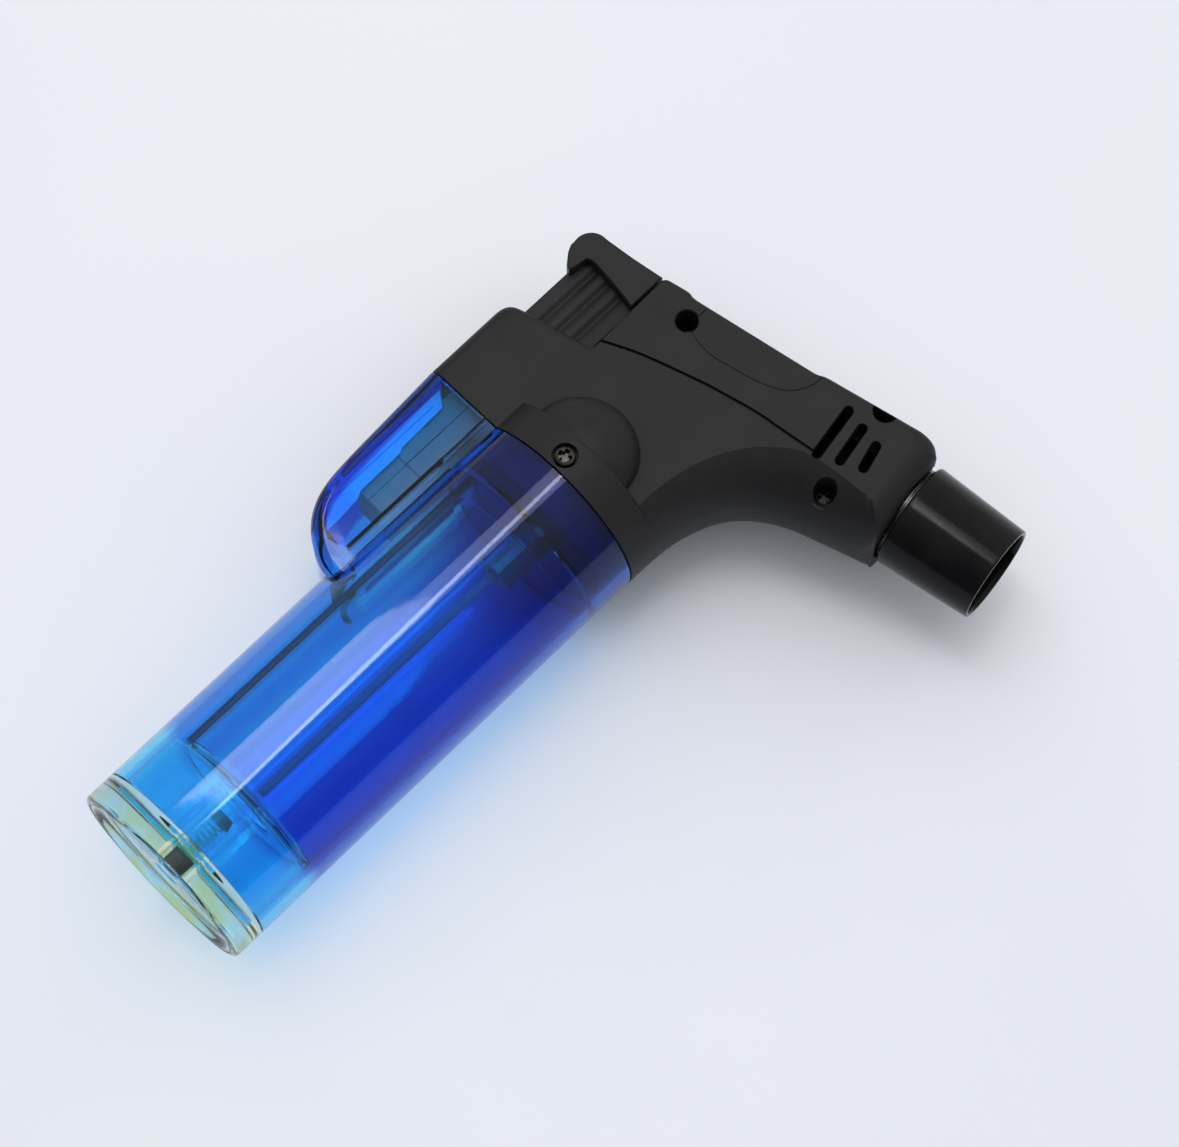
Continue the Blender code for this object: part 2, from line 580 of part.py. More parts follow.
def make_shells():
    tools = []
    collar = cylinder("collar", TANK_RADIUS, (0, HEAD_LOW - 4 * mm, 0), (0, COLLAR_TOP, 0))
    tools.append((collar, "UNION"))
    for side in (-1, 1):
        def build(shape):
            bmesh.ops.create_uvsphere(shape, u_segments=24, v_segments=12, radius=1)
            bmesh.ops.scale(shape, vec=DOME_SIZE, verts=shape.verts)

        dome = add(f"dome_{side}", mesh_from("dome", build), None, (DOME_X, COLLAR_TOP, side * PANEL_HALF))
        tools.append((dome, "UNION"))
    low_trim = box("low_trim", (-40 * mm, 50 * mm, -30 * mm), (40 * mm, HEAD_LOW, 30 * mm))
    tools.append((low_trim, "DIFFERENCE"))
    cavity = plate("cavity", [(x * mm, y * mm) for x, y in CAVITY], -CAVITY_HALF, CAVITY_HALF)
    tools.append((cavity, "DIFFERENCE"))
    bore = cylinder("collar_bore", COLLAR_BORE, (0, 70 * mm, 0), (0, 81.5 * mm, 0))
    tools.append((bore, "DIFFERENCE"))
    for number, (x, y, reach) in enumerate(BOSSES):
        ends = ((x * mm, y * mm, -reach * mm), (x * mm, y * mm, reach * mm))
        tools.append((cylinder(f"boss_{number}", 2.2 * mm, *ends, sides=20), "UNION"))
    for name, radius, deep in (("nose_bore", SLEEVE_RADIUS + GAP, 21.5), ("nose_rebate", 7.75 * mm, 16.2)):
        bore = cylinder(name, radius, on_axis(12 * mm), on_axis(deep * mm), sides=40)
        tools.append((bore, "DIFFERENCE"))
    for number, (start, end) in enumerate(SLOTS):
        outline = slot_outline(start, end, 1.5 * mm)
        tools.append((plate(f"vent_{number}", outline, -20 * mm, 20 * mm), "DIFFERENCE"))
    half_disc = arc(*NOTCH, 1.85 * mm, 180 + SPINE_SLOPE, 360 + SPINE_SLOPE, 10)
    for side in (-1, 1):
        low, high = sorted((side * 5.0 * mm, side * 20 * mm))
        tools.append((plate(f"notch_{side}", half_disc, low, high), "DIFFERENCE"))
    for number, (x, y, _) in enumerate(BOSSES):
        sink = ((x * mm, y * mm, 4.0 * mm), (x * mm, y * mm, 20 * mm))
        way = ((x * mm, y * mm, -5.4 * mm), (x * mm, y * mm, 6 * mm))
        tools.append((cylinder(f"head_sink_{number}", 1.7 * mm, *sink, sides=20), "DIFFERENCE"))
        tools.append((cylinder(f"screw_hole_{number}", SCREW_SHANK + GAP, *way, sides=16), "DIFFERENCE"))
    for side in (-1, 1):
        sink = ((*COLLAR_SCREW, side * 13.7 * mm), (*COLLAR_SCREW, side * 20 * mm))
        way = ((*COLLAR_SCREW, side * 11 * mm), (*COLLAR_SCREW, side * 15 * mm))
        tools.append((cylinder(f"collar_sink_{side}", 1.9 * mm, *sink, sides=20), "DIFFERENCE"))
        tools.append((cylinder(f"collar_hole_{side}", SCREW_SHANK + GAP, *way, sides=16), "DIFFERENCE"))

    for name, side in (("head_shell_right", 1), ("head_shell_left", -1)):
        shell = add(name, head_solid(), BLACK)
        for tool, operation in tools:
            boolean(shell, tool, operation)
        near, far = sorted((side * SPLIT, -side * 40 * mm))
        boolean(shell, box(f"other_side_{side}", (-60 * mm, 40 * mm, near), (80 * mm, 140 * mm, far)))


def make_screw(name, place, outward, head_radius, length):
    """A countersunk-style pan screw: place is under the head, outward the way that the head faces."""
    profile = [(0, 1.0 * mm), (head_radius - 0.3 * mm, 1.0 * mm), (head_radius, 0.7 * mm), (head_radius, 0),
               (SCREW_SHANK, 0), (SCREW_SHANK, -length + 0.8 * mm), (0, -length)]
    turned(name, profile, place, outward, STEEL, 20)


def make_screws():
    (top_x, top_y, _), (barrel_x, barrel_y, _) = BOSSES
    make_screw("top_screw", (top_x * mm, top_y * mm, 4.3 * mm), (0, 0, 1), 1.4 * mm, SCREW_LENGTH)
    make_screw("barrel_screw", (barrel_x * mm, barrel_y * mm, 4.3 * mm), (0, 0, 1), 1.4 * mm, SCREW_LENGTH)
    for name, side in (("collar_screw_right", 1), ("collar_screw_left", -1)):
        make_screw(name, (*COLLAR_SCREW, side * 14 * mm), (0, 0, side), 1.6 * mm, 6 * mm)


make_tank()
make_liner()
make_base()
make_gas_valve()
make_lever()
make_carrier()
make_igniter()
make_button()
make_burner()
make_shells()
make_screws()

for piece in parts.objects:
    if piece.type == "MESH" and piece.data.polygons:
        piece.data.shade_smooth()
        piece.data.set_sharp_from_angle(angle=math.radians(35))
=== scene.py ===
"""The butane torch's visible model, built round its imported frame.

Torch frame, in millimetres: X forward (the way the flame points), Y up the handle from the base, Z out
of the right side. The torch lies on its left side."""

import math

import bmesh
import bpy
from mathutils import Matrix, Vector


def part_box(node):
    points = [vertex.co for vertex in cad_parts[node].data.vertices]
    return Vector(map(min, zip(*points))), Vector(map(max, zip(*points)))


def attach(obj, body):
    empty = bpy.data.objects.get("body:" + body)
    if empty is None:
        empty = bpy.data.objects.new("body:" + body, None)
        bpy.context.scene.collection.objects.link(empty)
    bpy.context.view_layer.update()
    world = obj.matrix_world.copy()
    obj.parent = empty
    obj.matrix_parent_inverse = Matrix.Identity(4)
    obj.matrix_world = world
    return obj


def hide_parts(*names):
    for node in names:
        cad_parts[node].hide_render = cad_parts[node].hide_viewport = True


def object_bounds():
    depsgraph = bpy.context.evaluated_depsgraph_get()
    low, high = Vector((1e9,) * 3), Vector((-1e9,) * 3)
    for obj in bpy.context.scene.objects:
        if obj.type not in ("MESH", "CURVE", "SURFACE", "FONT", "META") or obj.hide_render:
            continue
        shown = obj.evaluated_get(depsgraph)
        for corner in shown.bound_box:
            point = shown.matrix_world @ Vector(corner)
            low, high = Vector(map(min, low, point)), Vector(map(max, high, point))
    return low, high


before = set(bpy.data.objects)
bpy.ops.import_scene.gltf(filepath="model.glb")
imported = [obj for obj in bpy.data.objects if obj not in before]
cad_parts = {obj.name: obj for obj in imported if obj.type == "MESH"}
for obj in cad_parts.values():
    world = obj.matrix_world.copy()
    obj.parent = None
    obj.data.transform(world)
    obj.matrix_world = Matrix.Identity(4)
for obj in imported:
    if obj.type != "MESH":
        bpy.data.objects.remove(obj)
cad_low, cad_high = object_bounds()

mm = 0.001
base_low, base_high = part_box("base_plug")
ORIGIN = Vector(((base_low.x + base_high.x) / 2, base_low.y, (base_low.z + base_high.z) / 2))

# The camera looks at a point of the torch from this bearing, height and distance
LOOK_AT = Vector((10.548, 72.86, 0.0))
CAMERA_AZIMUTH = 44.721
CAMERA_ELEVATION = 70.377
CAMERA_DISTANCE = 517.172 * mm
CAMERA_LENS = 112.02

TANK_RADIUS = 15.0
TANK_LOW = 5.0
TANK_TOP = 76.5
TANK_WALL = 1.3
PANEL_HALF = 9.5
HEAD_LOW = TANK_TOP + 0.3
COLLAR_TOP = 82.4
NOZZLE_TILT = math.radians(7.5)
MOUTH = Vector((51.4, 113.05, 0.0))
LINER_X = 0.9
LINER_RADIUS = 12.0
LINER_LOW = 14.6
# The rear edge of the bulge behind the tank, from its foot to the seam
BULGE = [
    (-13.0, 44.9), (-14.6, 45.15), (-16.6, 46.0), (-19.3, 47.8), (-21.2, 49.9), (-22.6, 52.7),
    (-23.35, 56.2), (-23.75, 61.0), (-24.05, 66.5), (-24.6, 76.5),
]
BULGE_REAR = BULGE[-1][0]


def placed(point):
    """A point of the torch frame, in the row frame."""
    return ORIGIN + Vector(point) * mm


# Camera, floor and light ------------------------------------------------------------------------------

def make_camera():
    azimuth, elevation = math.radians(CAMERA_AZIMUTH), math.radians(CAMERA_ELEVATION)
    back = Vector((
        math.sin(azimuth) * math.cos(elevation),
        -math.cos(azimuth) * math.cos(elevation),
        math.sin(elevation),
    ))
    data = bpy.data.cameras.new("camera")
    data.lens = CAMERA_LENS
    data.clip_start = 0.01
    data.clip_end = 20
    camera = bpy.data.objects.new("camera", data)
    camera.location = placed(LOOK_AT) + back * CAMERA_DISTANCE
    right = Vector((math.cos(azimuth), math.sin(azimuth), 0))
    up = back.cross(right)
    camera.rotation_euler = Matrix((right, up, back)).transposed().to_euler()
    bpy.context.scene.collection.objects.link(camera)
    bpy.context.scene.camera = camera


class Nodes:
    """A material's node tree, with short ways to add and join its nodes."""

    def __init__(self, tree):
        self.tree = tree
        self.tree.nodes.clear()

    def add(self, kind, values=None, **settings):
        node = self.tree.nodes.new("ShaderNode" + kind)
        for key, value in settings.items():
            setattr(node, key, value)
        for key, value in (values or {}).items():
            self.put(node.inputs[key], value)
        return node

    def put(self, socket, value):
        if isinstance(value, bpy.types.NodeSocket):
            self.tree.links.new(value, socket)
        elif isinstance(value, tuple) and len(value) == 3 and socket.type == "RGBA":
            socket.default_value = (*value, 1)
        else:
            socket.default_value = value

    def place(self, scale=(1, 1, 1)):
        """The surface's own coordinates, in millimetres times scale."""
        coordinates = self.add("TexCoord").outputs["Object"]
        sizes = tuple(1000 * value for value in scale)
        return self.add("Mapping", {"Vector": coordinates, "Scale": sizes}).outputs[0]

    def noise(self, size, detail=2.0, rough=0.5, stretch=(1, 1, 1)):
        """Noise with features of about size millimetres."""
        where = self.place(tuple(value / size for value in stretch))
        values = {"Vector": where, "Scale": 1.0, "Detail": detail, "Roughness": rough}
        return self.add("TexNoise", values).outputs["Fac"]

    def span(self, value, low, high, start=0.0, end=1.0):
        """value carried from low..high to start..end."""
        values = {"Value": value, "From Min": low, "From Max": high, "To Min": start, "To Max": end}
        return self.add("MapRange", values).outputs[0]

    def ramp(self, factor, *stops):
        """Colours at places between 0 and 1."""
        node = self.add("ValToRGB", {"Fac": factor})
        elements = node.color_ramp.elements
        while len(elements) < len(stops):
            elements.new(0.5)
        for element, (place, colour) in zip(elements, stops):
            element.position = place
            element.color = (*colour, 1)
        return node.outputs[0]

    def mix(self, factor, first, second):
        node = self.add("Mix", data_type="RGBA")
        for socket, value in zip((node.inputs[0], node.inputs[6], node.inputs[7]), (factor, first, second)):
            self.put(socket, value)
        return node.outputs[2]

    def math(self, operation, first, second=0.0):
        return self.add("Math", {0: first, 1: second}, operation=operation).outputs[0]

    def bump(self, height, distance, strength=1.0, under=None):
        """Relief of distance millimetres where height goes from 0 to 1."""
        values = {"Height": height, "Distance": distance * mm, "Strength": strength}
        if under:
            values["Normal"] = under
        return self.add("Bump", values).outputs[0]


def surface(name, build):
    """A material whose surface shader is what build makes."""
    made = bpy.data.materials.new(name)
    made.use_nodes = True
    nodes = Nodes(made.node_tree)
    shader = build(nodes)
    output = nodes.add("OutputMaterial")
    nodes.tree.links.new(shader.outputs[0], output.inputs["Surface"])
    return made


def principled(nodes, **values):
    named = {key.replace("_", " "): value for key, value in values.items()}
    return nodes.add("BsdfPrincipled", named)


def moulded_plastic(nodes, dark, light, gloss=(0.42, 0.56), relief=0.006, level=0.23):
    """Plastic from a spark-eroded mould, with faint flow shading, dust and rubbed spots."""
    cloud = nodes.noise(9.0, 3.0)
    grain = nodes.noise(0.16, 2.0, 0.6)
    speck = nodes.span(nodes.noise(0.5, 1.0), 0.74, 0.80)
    rub = nodes.span(nodes.noise(4.0, 4.0, 0.6, (1, 0.35, 1)), 0.55, 0.8)
    tone = nodes.mix(nodes.span(cloud, 0.3, 0.7), dark, light)
    tone = nodes.mix(nodes.math("MULTIPLY", speck, 0.06), tone, (0.2, 0.2, 0.2))
    rough = nodes.span(nodes.math("ADD", grain, nodes.math("MULTIPLY", rub, -0.6)), 0.0, 1.0, *gloss)
    normal = nodes.bump(grain, relief)
    return principled(nodes, Base_Color=tone, Roughness=rough, Normal=normal, Specular_IOR_Level=level)


def black_panel(nodes):
    return moulded_plastic(nodes, (0.0120, 0.0120, 0.0125), (0.0156, 0.0156, 0.0160))


def black_button(nodes):
    return moulded_plastic(nodes, (0.012, 0.012, 0.013), (0.016, 0.016, 0.017), (0.38, 0.5))


def gloss_black(nodes):
    """The shroud's black enamel, with a slight orange peel and fine wiping marks round it."""
    peel = nodes.noise(0.9, 2.0)
    wipe = nodes.noise(0.35, 3.0, 0.6, (0.05, 1, 1))
    rough = nodes.span(wipe, 0.25, 0.75, 0.13, 0.2)
    tone = nodes.mix(nodes.span(nodes.noise(5.0), 0.3, 0.7), (0.004, 0.004, 0.005), (0.008, 0.008, 0.008))
    normal = nodes.bump(peel, 0.006, 0.6, nodes.bump(wipe, 0.001))
    return principled(nodes, Base_Color=tone, Roughness=rough, Normal=normal, Specular_IOR_Level=0.16)


def brushed(nodes, tone, shade, rough=(0.22, 0.4), stretch=(1, 1, 1), stain=(0.2, 0.15, 0.1)):
    """Bare metal with turning marks and a little tarnish."""
    marks = nodes.noise(0.12, 3.0, 0.6, stretch)
    patch = nodes.span(nodes.noise(1.1, 3.0, 0.6), 0.5, 0.75)
    colour = nodes.mix(nodes.span(marks, 0.3, 0.7), shade, tone)
    colour = nodes.mix(nodes.math("MULTIPLY", patch, 0.35), colour, stain)
    values = {"Base_Color": colour, "Roughness": nodes.span(marks, 0.2, 0.8, *rough), "Metallic": 1.0}
    return principled(nodes, Normal=nodes.bump(marks, 0.003), **values)


def steel(nodes):
    return brushed(nodes, (0.74, 0.72, 0.66), (0.5, 0.48, 0.43))


def bright_steel(nodes):
    dirt = (0.05, 0.05, 0.05)
    return brushed(nodes, (0.2, 0.2, 0.2), (0.1, 0.1, 0.1), (0.2, 0.35), (1, 0.2, 0.2), dirt)


def black_steel(nodes):
    return brushed(nodes, (0.05, 0.05, 0.052), (0.02, 0.02, 0.022), (0.35, 0.5), stain=(0.03, 0.025, 0.02))


def brass_soot_and_painted_shade(nodes):
    # Brass darkened nearly to black as painted shade for the jet and tube inside the head, with random soot
    # patches
    soot = (0.006, 0.005, 0.005)
    return brushed(nodes, (0.018, 0.015, 0.011), (0.009, 0.008, 0.006), (0.5, 0.7), stain=soot)


def old_brass(nodes):
    dirt = (0.02, 0.02, 0.015)
    return brushed(nodes, (0.13, 0.125, 0.10), (0.05, 0.048, 0.035), (0.2, 0.32), stain=dirt)


def brass(nodes):
    return brushed(nodes, (0.82, 0.6, 0.27), (0.6, 0.42, 0.17), stain=(0.25, 0.14, 0.05))


def clear(nodes, shown, lamps, rough=(0.02, 0.07)):
    """Clear plastic, tinted as shown. Lamps and scattered light reach through it, tinted by lamps."""
    smear = nodes.noise(3.0, 3.0, 0.6, (1, 0.4, 1))
    normal = nodes.bump(nodes.noise(2.2, 1.0, 0.4), 0.004)
    glass = principled(
        nodes, Base_Color=shown, Roughness=nodes.span(smear, 0.35, 0.8, *rough), Normal=normal,
        Transmission_Weight=1.0, IOR=1.45,
    )
    path = nodes.add("LightPath")
    through = nodes.add("BsdfTransparent", {"Color": lamps})
    for ray in ("Is Diffuse Ray", "Is Shadow Ray"):
        values = {0: path.outputs[ray], 1: glass.outputs[0], 2: through.outputs[0]}
        glass = nodes.add("MixShader", values)
    return glass


def blue_clear(nodes):
    """The tank's blue acrylic, with painted light and shade: across X, darker at both sides and deepest
    towards +X where the shadowed floor shows through, with a paler band left of the middle where the lit
    floor shows; paler at the base and darker towards the top; painted light in the igniter's pocket, paler
    and greyer towards the tank as a painted reflection, and a painted dark band along the pocket's rear
    edge."""
    split = nodes.add("SeparateXYZ", {0: nodes.place()})
    x, y = split.outputs[0], split.outputs[1]
    # Painted light and shade across X: darker at both sides and deepest towards +X where the shadowed floor
    # shows through, paler left of the middle where the lit floor shows
    tint = nodes.ramp(
        nodes.span(x, -TANK_RADIUS, TANK_RADIUS),
        (0.0, (0.01, 0.22, 0.78)),
        (0.12, (0.02, 0.28, 0.84)),
        (0.17, (0.19, 0.82, 1.0)),
        (0.30, (0.23, 0.88, 1.0)),
        (0.47, (0.015, 0.30, 0.78)),
        (0.62, (0.01, 0.28, 0.80)),
        (0.9, (0.006, 0.22, 0.76)),
        (1.0, (0.002, 0.10, 0.60)),
    )
    ragged = nodes.math("ADD", y, nodes.math("MULTIPLY", nodes.noise(6.0), 2.0))
    tint = nodes.mix(nodes.span(ragged, 14.5, 17.0, 1.0, 0.0), tint, (0.10, 0.66, 1.0))
    tint = nodes.mix(nodes.span(y, 57.0, 68.0, 0.0, 1.0), tint, (0.01, 0.13, 0.62))

    first_y, last_y = BULGE[0][1], BULGE[-1][1]
    reach = 2 * TANK_RADIUS
    edge = nodes.ramp(nodes.span(y, first_y, last_y), *(
        ((at_y - first_y) / (last_y - first_y), (-edge_x / reach,) * 3) for edge_x, at_y in BULGE
    ))
    inward = nodes.math("ADD", x, nodes.math("MULTIPLY", edge, reach))
    # Painted light in the igniter's pocket: a paler blue where the shadowed floor shows through, turning
    # paler and greyer towards the tank as a painted reflection
    bulge = nodes.ramp(
        nodes.span(x, -22.0, -12.0),
        (0.0, (0.06, 0.62, 1.0)),
        (0.3, (0.08, 0.64, 1.0)),
        (0.5, (0.15, 0.58, 0.96)),
        (1.0, (0.46, 0.68, 0.84)),
    )
    bulge = nodes.mix(nodes.span(y, 54.5, 56.5, 1.0, 0.0), bulge, (0.12, 0.50, 1.0))
    # Painted shade: a dark band along the pocket's rear edge
    bulge = nodes.mix(nodes.span(inward, 2.6, 2.9, 1.0, 0.0), bulge, (0.01, 0.10, 0.60))
    pocket = nodes.math("MULTIPLY", nodes.span(x, -12.0, -11.7, 1.0, 0.0), nodes.span(y, 47.5, 48.5))
    return clear(nodes, nodes.mix(pocket, tint, bulge), (0.72, 0.88, 1.0))


def pale_blue_clear(nodes):
    return clear(nodes, (0.62, 0.94, 1.0), (0.96, 0.98, 1.0))


def clear_base(nodes):
    """Uncoloured acrylic, yellowed a little at its rim."""
    height = nodes.add("SeparateXYZ", {0: nodes.place()}).outputs[1]
    rim = nodes.mix(nodes.span(nodes.noise(6.0, 2.0), 0.42, 0.58), (0.74, 0.80, 0.34), (0.66, 0.90, 0.90))
    tint = nodes.mix(nodes.span(height, 3.6, 5.0), rim, (0.86, 0.97, 1.0))
    return clear(nodes, tint, (0.97, 0.99, 0.97), (0.03, 0.09))


def grey_plastic(nodes):
    return moulded_plastic(nodes, (0.17, 0.17, 0.21), (0.23, 0.22, 0.26), (0.4, 0.55))


def deep_blue(nodes):
    # Dark blue for the valve carrier, and for the rods that paint dark lines of shade in the tank
    return moulded_plastic(nodes, (0.002, 0.006, 0.06), (0.003, 0.01, 0.10), (0.3, 0.4))


def azure(nodes):
    # Light blue for the plate that puts painted light in the igniter's pocket
    return moulded_plastic(nodes, (0.06, 0.36, 0.86), (0.08, 0.42, 0.95), (0.4, 0.5))


def blue_lead(nodes):
    return moulded_plastic(nodes, (0.02, 0.10, 0.42), (0.03, 0.14, 0.5), (0.3, 0.4))


def rubber(nodes):
    return moulded_plastic(nodes, (0.012, 0.012, 0.012), (0.02, 0.02, 0.02), (0.6, 0.75), 0.01)


def ceramic(nodes):
    return moulded_plastic(nodes, (0.78, 0.76, 0.70), (0.86, 0.85, 0.80), (0.3, 0.45))


def wick_fibre(nodes):
    fibre = nodes.noise(0.12, 3.0, 0.7, (1, 0.06, 1))
    tone = nodes.mix(fibre, (0.10, 0.16, 0.26), (0.2, 0.28, 0.4))
    return principled(nodes, Base_Color=tone, Roughness=0.9, Normal=nodes.bump(fibre, 0.05))


def hose_plastic(nodes):
    return moulded_plastic(nodes, (0.55, 0.5, 0.4), (0.66, 0.62, 0.52), (0.3, 0.45))


def pale_floor(nodes):
    cloud = nodes.noise(160.0, 2.0)
    tone = nodes.mix(nodes.span(cloud, 0.3, 0.7), (0.73, 0.755, 0.80), (0.765, 0.785, 0.815))
    return principled(nodes, Base_Color=tone, Roughness=nodes.span(nodes.noise(30.0), 0.3, 0.7, 0.42, 0.5))


LOOKS = {
    "black_plastic": surface("black_panel", black_panel),
    "button": surface("black_button", black_button),
    "gloss_black": surface("gloss_black_enamel", gloss_black),
    "steel": surface("screw_steel", steel),
    "bright_steel": surface("bright_steel_ring", bright_steel),
    "black_steel": surface("blackened_steel", black_steel),
    "brass": surface("turned_brass", brass),
    "brass_soot_and_painted_shade": surface("brass_tube_soot_and_painted_shade", brass_soot_and_painted_shade),
    "old_brass": surface("old_brass_screw", old_brass),
    "deep_blue": surface("deep_blue_carrier_and_shade_lines", deep_blue),
    "azure": surface("azure_painted_light_plate", azure),
    "blue_lead": surface("blue_lead_sleeve", blue_lead),
    "blue_clear_plastic": surface("blue_acrylic_painted_light_and_shade", blue_clear),
    "pale_blue": surface("pale_blue_clear_acrylic", pale_blue_clear),
    "clear_plastic": surface("clear_base_acrylic", clear_base),
    "grey_plastic": surface("grey_moulding", grey_plastic),
    "rubber": surface("black_rubber", rubber),
    "ceramic": surface("white_ceramic", ceramic),
    "wick": surface("wick_fibre_strand", wick_fibre),
    "hose": surface("amber_hose", hose_plastic),
    "floor": surface("pale_floor", pale_floor),
}


def make_stage():
    plane = bpy.data.meshes.new("floor")
    half = 3.0
    corners = [(-half, -half, 0), (half, -half, 0), (half, half, 0), (-half, half, 0)]
    plane.from_pydata(corners, [], [(0, 1, 2, 3)])
    floor = bpy.data.objects.new("floor", plane)
    floor.location.z = cad_low.z - 0.00002
    plane.materials.append(LOOKS["floor"])
    bpy.context.scene.collection.objects.link(floor)

    world = bpy.data.worlds.new("studio")
    world.use_nodes = True
    bpy.context.scene.world = world
    nodes = Nodes(world.node_tree)
    towards = nodes.add("TexCoord").outputs["Generated"]
    slope = nodes.add("VectorMath", {0: towards, 1: (-0.25, 0.74, 0.62)}, operation="DOT_PRODUCT")
    tone = nodes.ramp(
        nodes.span(slope.outputs["Value"], -1.0, 1.0),
        (0.0, (0.05, 0.05, 0.055)),
        (0.4, (0.22, 0.225, 0.24)),
        (0.8, (0.84, 0.86, 0.9)),
        (1.0, (1.0, 1.0, 1.0)),
    )
    # The room is dimmer in reflections than as a source of light
    dim = nodes.span(nodes.add("LightPath").outputs["Is Glossy Ray"], 0.0, 1.0, 1.12, 0.6)
    sky = nodes.add("Background", {"Color": tone, "Strength": dim})
    nodes.tree.links.new(sky.outputs[0], nodes.add("OutputWorld").inputs["Surface"])


def make_light(name, place, target, size, power, colour=(1, 1, 1), glossy=True):
    """A rectangular lamp, placed and aimed in metres from the middle of the floor."""
    data = bpy.data.lights.new(name, "AREA")
    data.shape = "RECTANGLE"
    data.size, data.size_y = size
    data.energy = power
    data.color = colour
    lamp = bpy.data.objects.new(name, data)
    lamp.location = place
    lamp.rotation_euler = (Vector(place) - Vector(target)).to_track_quat("Z", "Y").to_euler()
    lamp.visible_glossy = glossy
    bpy.context.scene.collection.objects.link(lamp)


def make_lights():
    """Two boxes that show as a pale band along the tank, a strip that shows as a thin line on the tank and
    the shroud, and a large key light that shows in no reflection."""
    rose = (1.0, 0.93, 0.97)
    make_light("soft_box", (-0.150, 0.055, 0.53), (-0.150, 0.055, 0), (0.33, 0.08), 0.36, rose)
    make_light("half_box", (-0.075, 0.143, 0.53), (-0.075, 0.143, 0), (0.18, 0.095), 0.11, rose)
    make_light("strip", (-0.028, 0.100, 0.525), (0, 0.05, 0), (0.03, 0.2), 0.13)
    make_light("key", (-0.22, 0.34, 1.1), (0, 0, 0), (1.9, 1.9), 3.8, (1.0, 0.985, 0.96), glossy=False)


# Mesh making ------------------------------------------------------------------------------------------

def add(name, mesh, look=None):
    """An object in the torch frame. Without a look it is a tool, which carve removes again."""
    piece = bpy.data.objects.new(name, mesh)
    bpy.context.scene.collection.objects.link(piece)
    piece.location = ORIGIN
    if look:
        mesh.materials.clear()
        mesh.materials.append(LOOKS[look])
    return piece


def mesh_from(name, build):
    """A mesh made in millimetres by build."""
    mesh = bpy.data.meshes.new(name)
    shape = bmesh.new()
    build(shape)
    bmesh.ops.remove_doubles(shape, verts=shape.verts, dist=0.0005)
    bmesh.ops.recalc_face_normals(shape, faces=shape.faces)
    bmesh.ops.scale(shape, vec=(mm, mm, mm), verts=shape.verts)
    shape.to_mesh(mesh)
    shape.free()
    return mesh


def loft(rings):
    """A builder that joins rings of points, each to the next, and caps the first and last."""
    def build(shape):
        made = [[shape.verts.new(point) for point in ring] for ring in rings]
        count = len(made[0])
        for lower, upper in zip(made, made[1:]):
            for i in range(count):
                j = (i + 1) % count
                shape.faces.new((lower[i], lower[j], upper[j], upper[i]))
        shape.faces.new(made[0][::-1])
        shape.faces.new(made[-1])

    return build


def prism(name, outline, low, high, look=None, flare=0.0, round_by=0.0, steps=4):
    """An outline in X and Y between two heights in Z. flare widens it at both ends by that much over the
    same height, and round_by rounds both its end edges."""
    levels = [(low, flare), (low + flare, 0.0), (high - flare, 0.0), (high, flare)] if flare else []
    if round_by:
        turn = [math.pi / 2 * i / steps for i in range(steps + 1)]
        foot = [(low + round_by * (1 - math.sin(t)), -round_by * (1 - math.cos(t))) for t in turn[::-1]]
        head = [(high - round_by * (1 - math.sin(t)), -round_by * (1 - math.cos(t))) for t in turn]
        levels = foot + head
    rings = [
        [(x, y, z) for x, y in grown(outline, by)] for z, by in levels or [(low, 0.0), (high, 0.0)]
    ]
    return add(name, mesh_from(name, loft(rings)), look)


def grown(outline, by):
    """A counter-clockwise outline moved outward by a distance."""
    if not by:
        return outline
    moved = []
    count = len(outline)
    for i, (x, y) in enumerate(outline):
        before, after = Vector(outline[i - 1]), Vector(outline[(i + 1) % count])
        here = Vector((x, y))
        first, second = (here - before).normalized(), (after - here).normalized()
        one, two = Vector((first.y, -first.x)), Vector((second.y, -second.x))
        middle = (one + two).normalized()
        reach = by / max(0.4, middle.dot(one))
        moved.append((x + middle.x * reach, y + middle.y * reach))
    return moved


def turned(name, profile, base, direction, look=None, steps=96):
    """A closed profile of (radius, height) points turned about an axis through base."""
    turn = Vector(direction).to_track_quat("Z", "Y").to_matrix()
    rings = []
    for i in range(steps):
        angle = math.tau * i / steps
        out = Vector((math.cos(angle), math.sin(angle), 0))
        rings.append([Vector(base) + turn @ (out * r + Vector((0, 0, h))) for r, h in profile])

    def build(shape):
        made = [[shape.verts.new(point) for point in ring] for ring in rings]
        count = len(profile)
        for i in range(steps):
            for j in range(count):
                corners = (made[i][j], made[i][(j + 1) % count], made[(i + 1) % steps][(j + 1) % count])
                shape.faces.new((*corners, made[(i + 1) % steps][j]))
        bmesh.ops.remove_doubles(shape, verts=shape.verts, dist=0.0005)
        bmesh.ops.dissolve_degenerate(shape, edges=shape.edges, dist=0.0005)

    return add(name, mesh_from(name, build), look)


def rod(name, radius, start, end, look=None, steps=32, flare=0.0):
    """A cylinder between two points, wider by flare at its start."""
    run = Vector(end) - Vector(start)
    length = run.length
    profile = [(0, 0), (radius + flare, 0), (radius, flare), (radius, length), (0, length)]
    if not flare:
        profile = [(0, 0), (radius, 0), (radius, length), (0, length)]
    return turned(name, profile, start, run, look, steps)


def block(name, low, high, look=None, round_by=0.0):
    """A box between two opposite corners. round_by rounds the edges of its two faces across Z."""
    (x0, y0, z0), (x1, y1, z1) = low, high
    return prism(name, [(x0, y0), (x1, y0), (x1, y1), (x0, y1)], z0, z1, look, round_by=round_by)


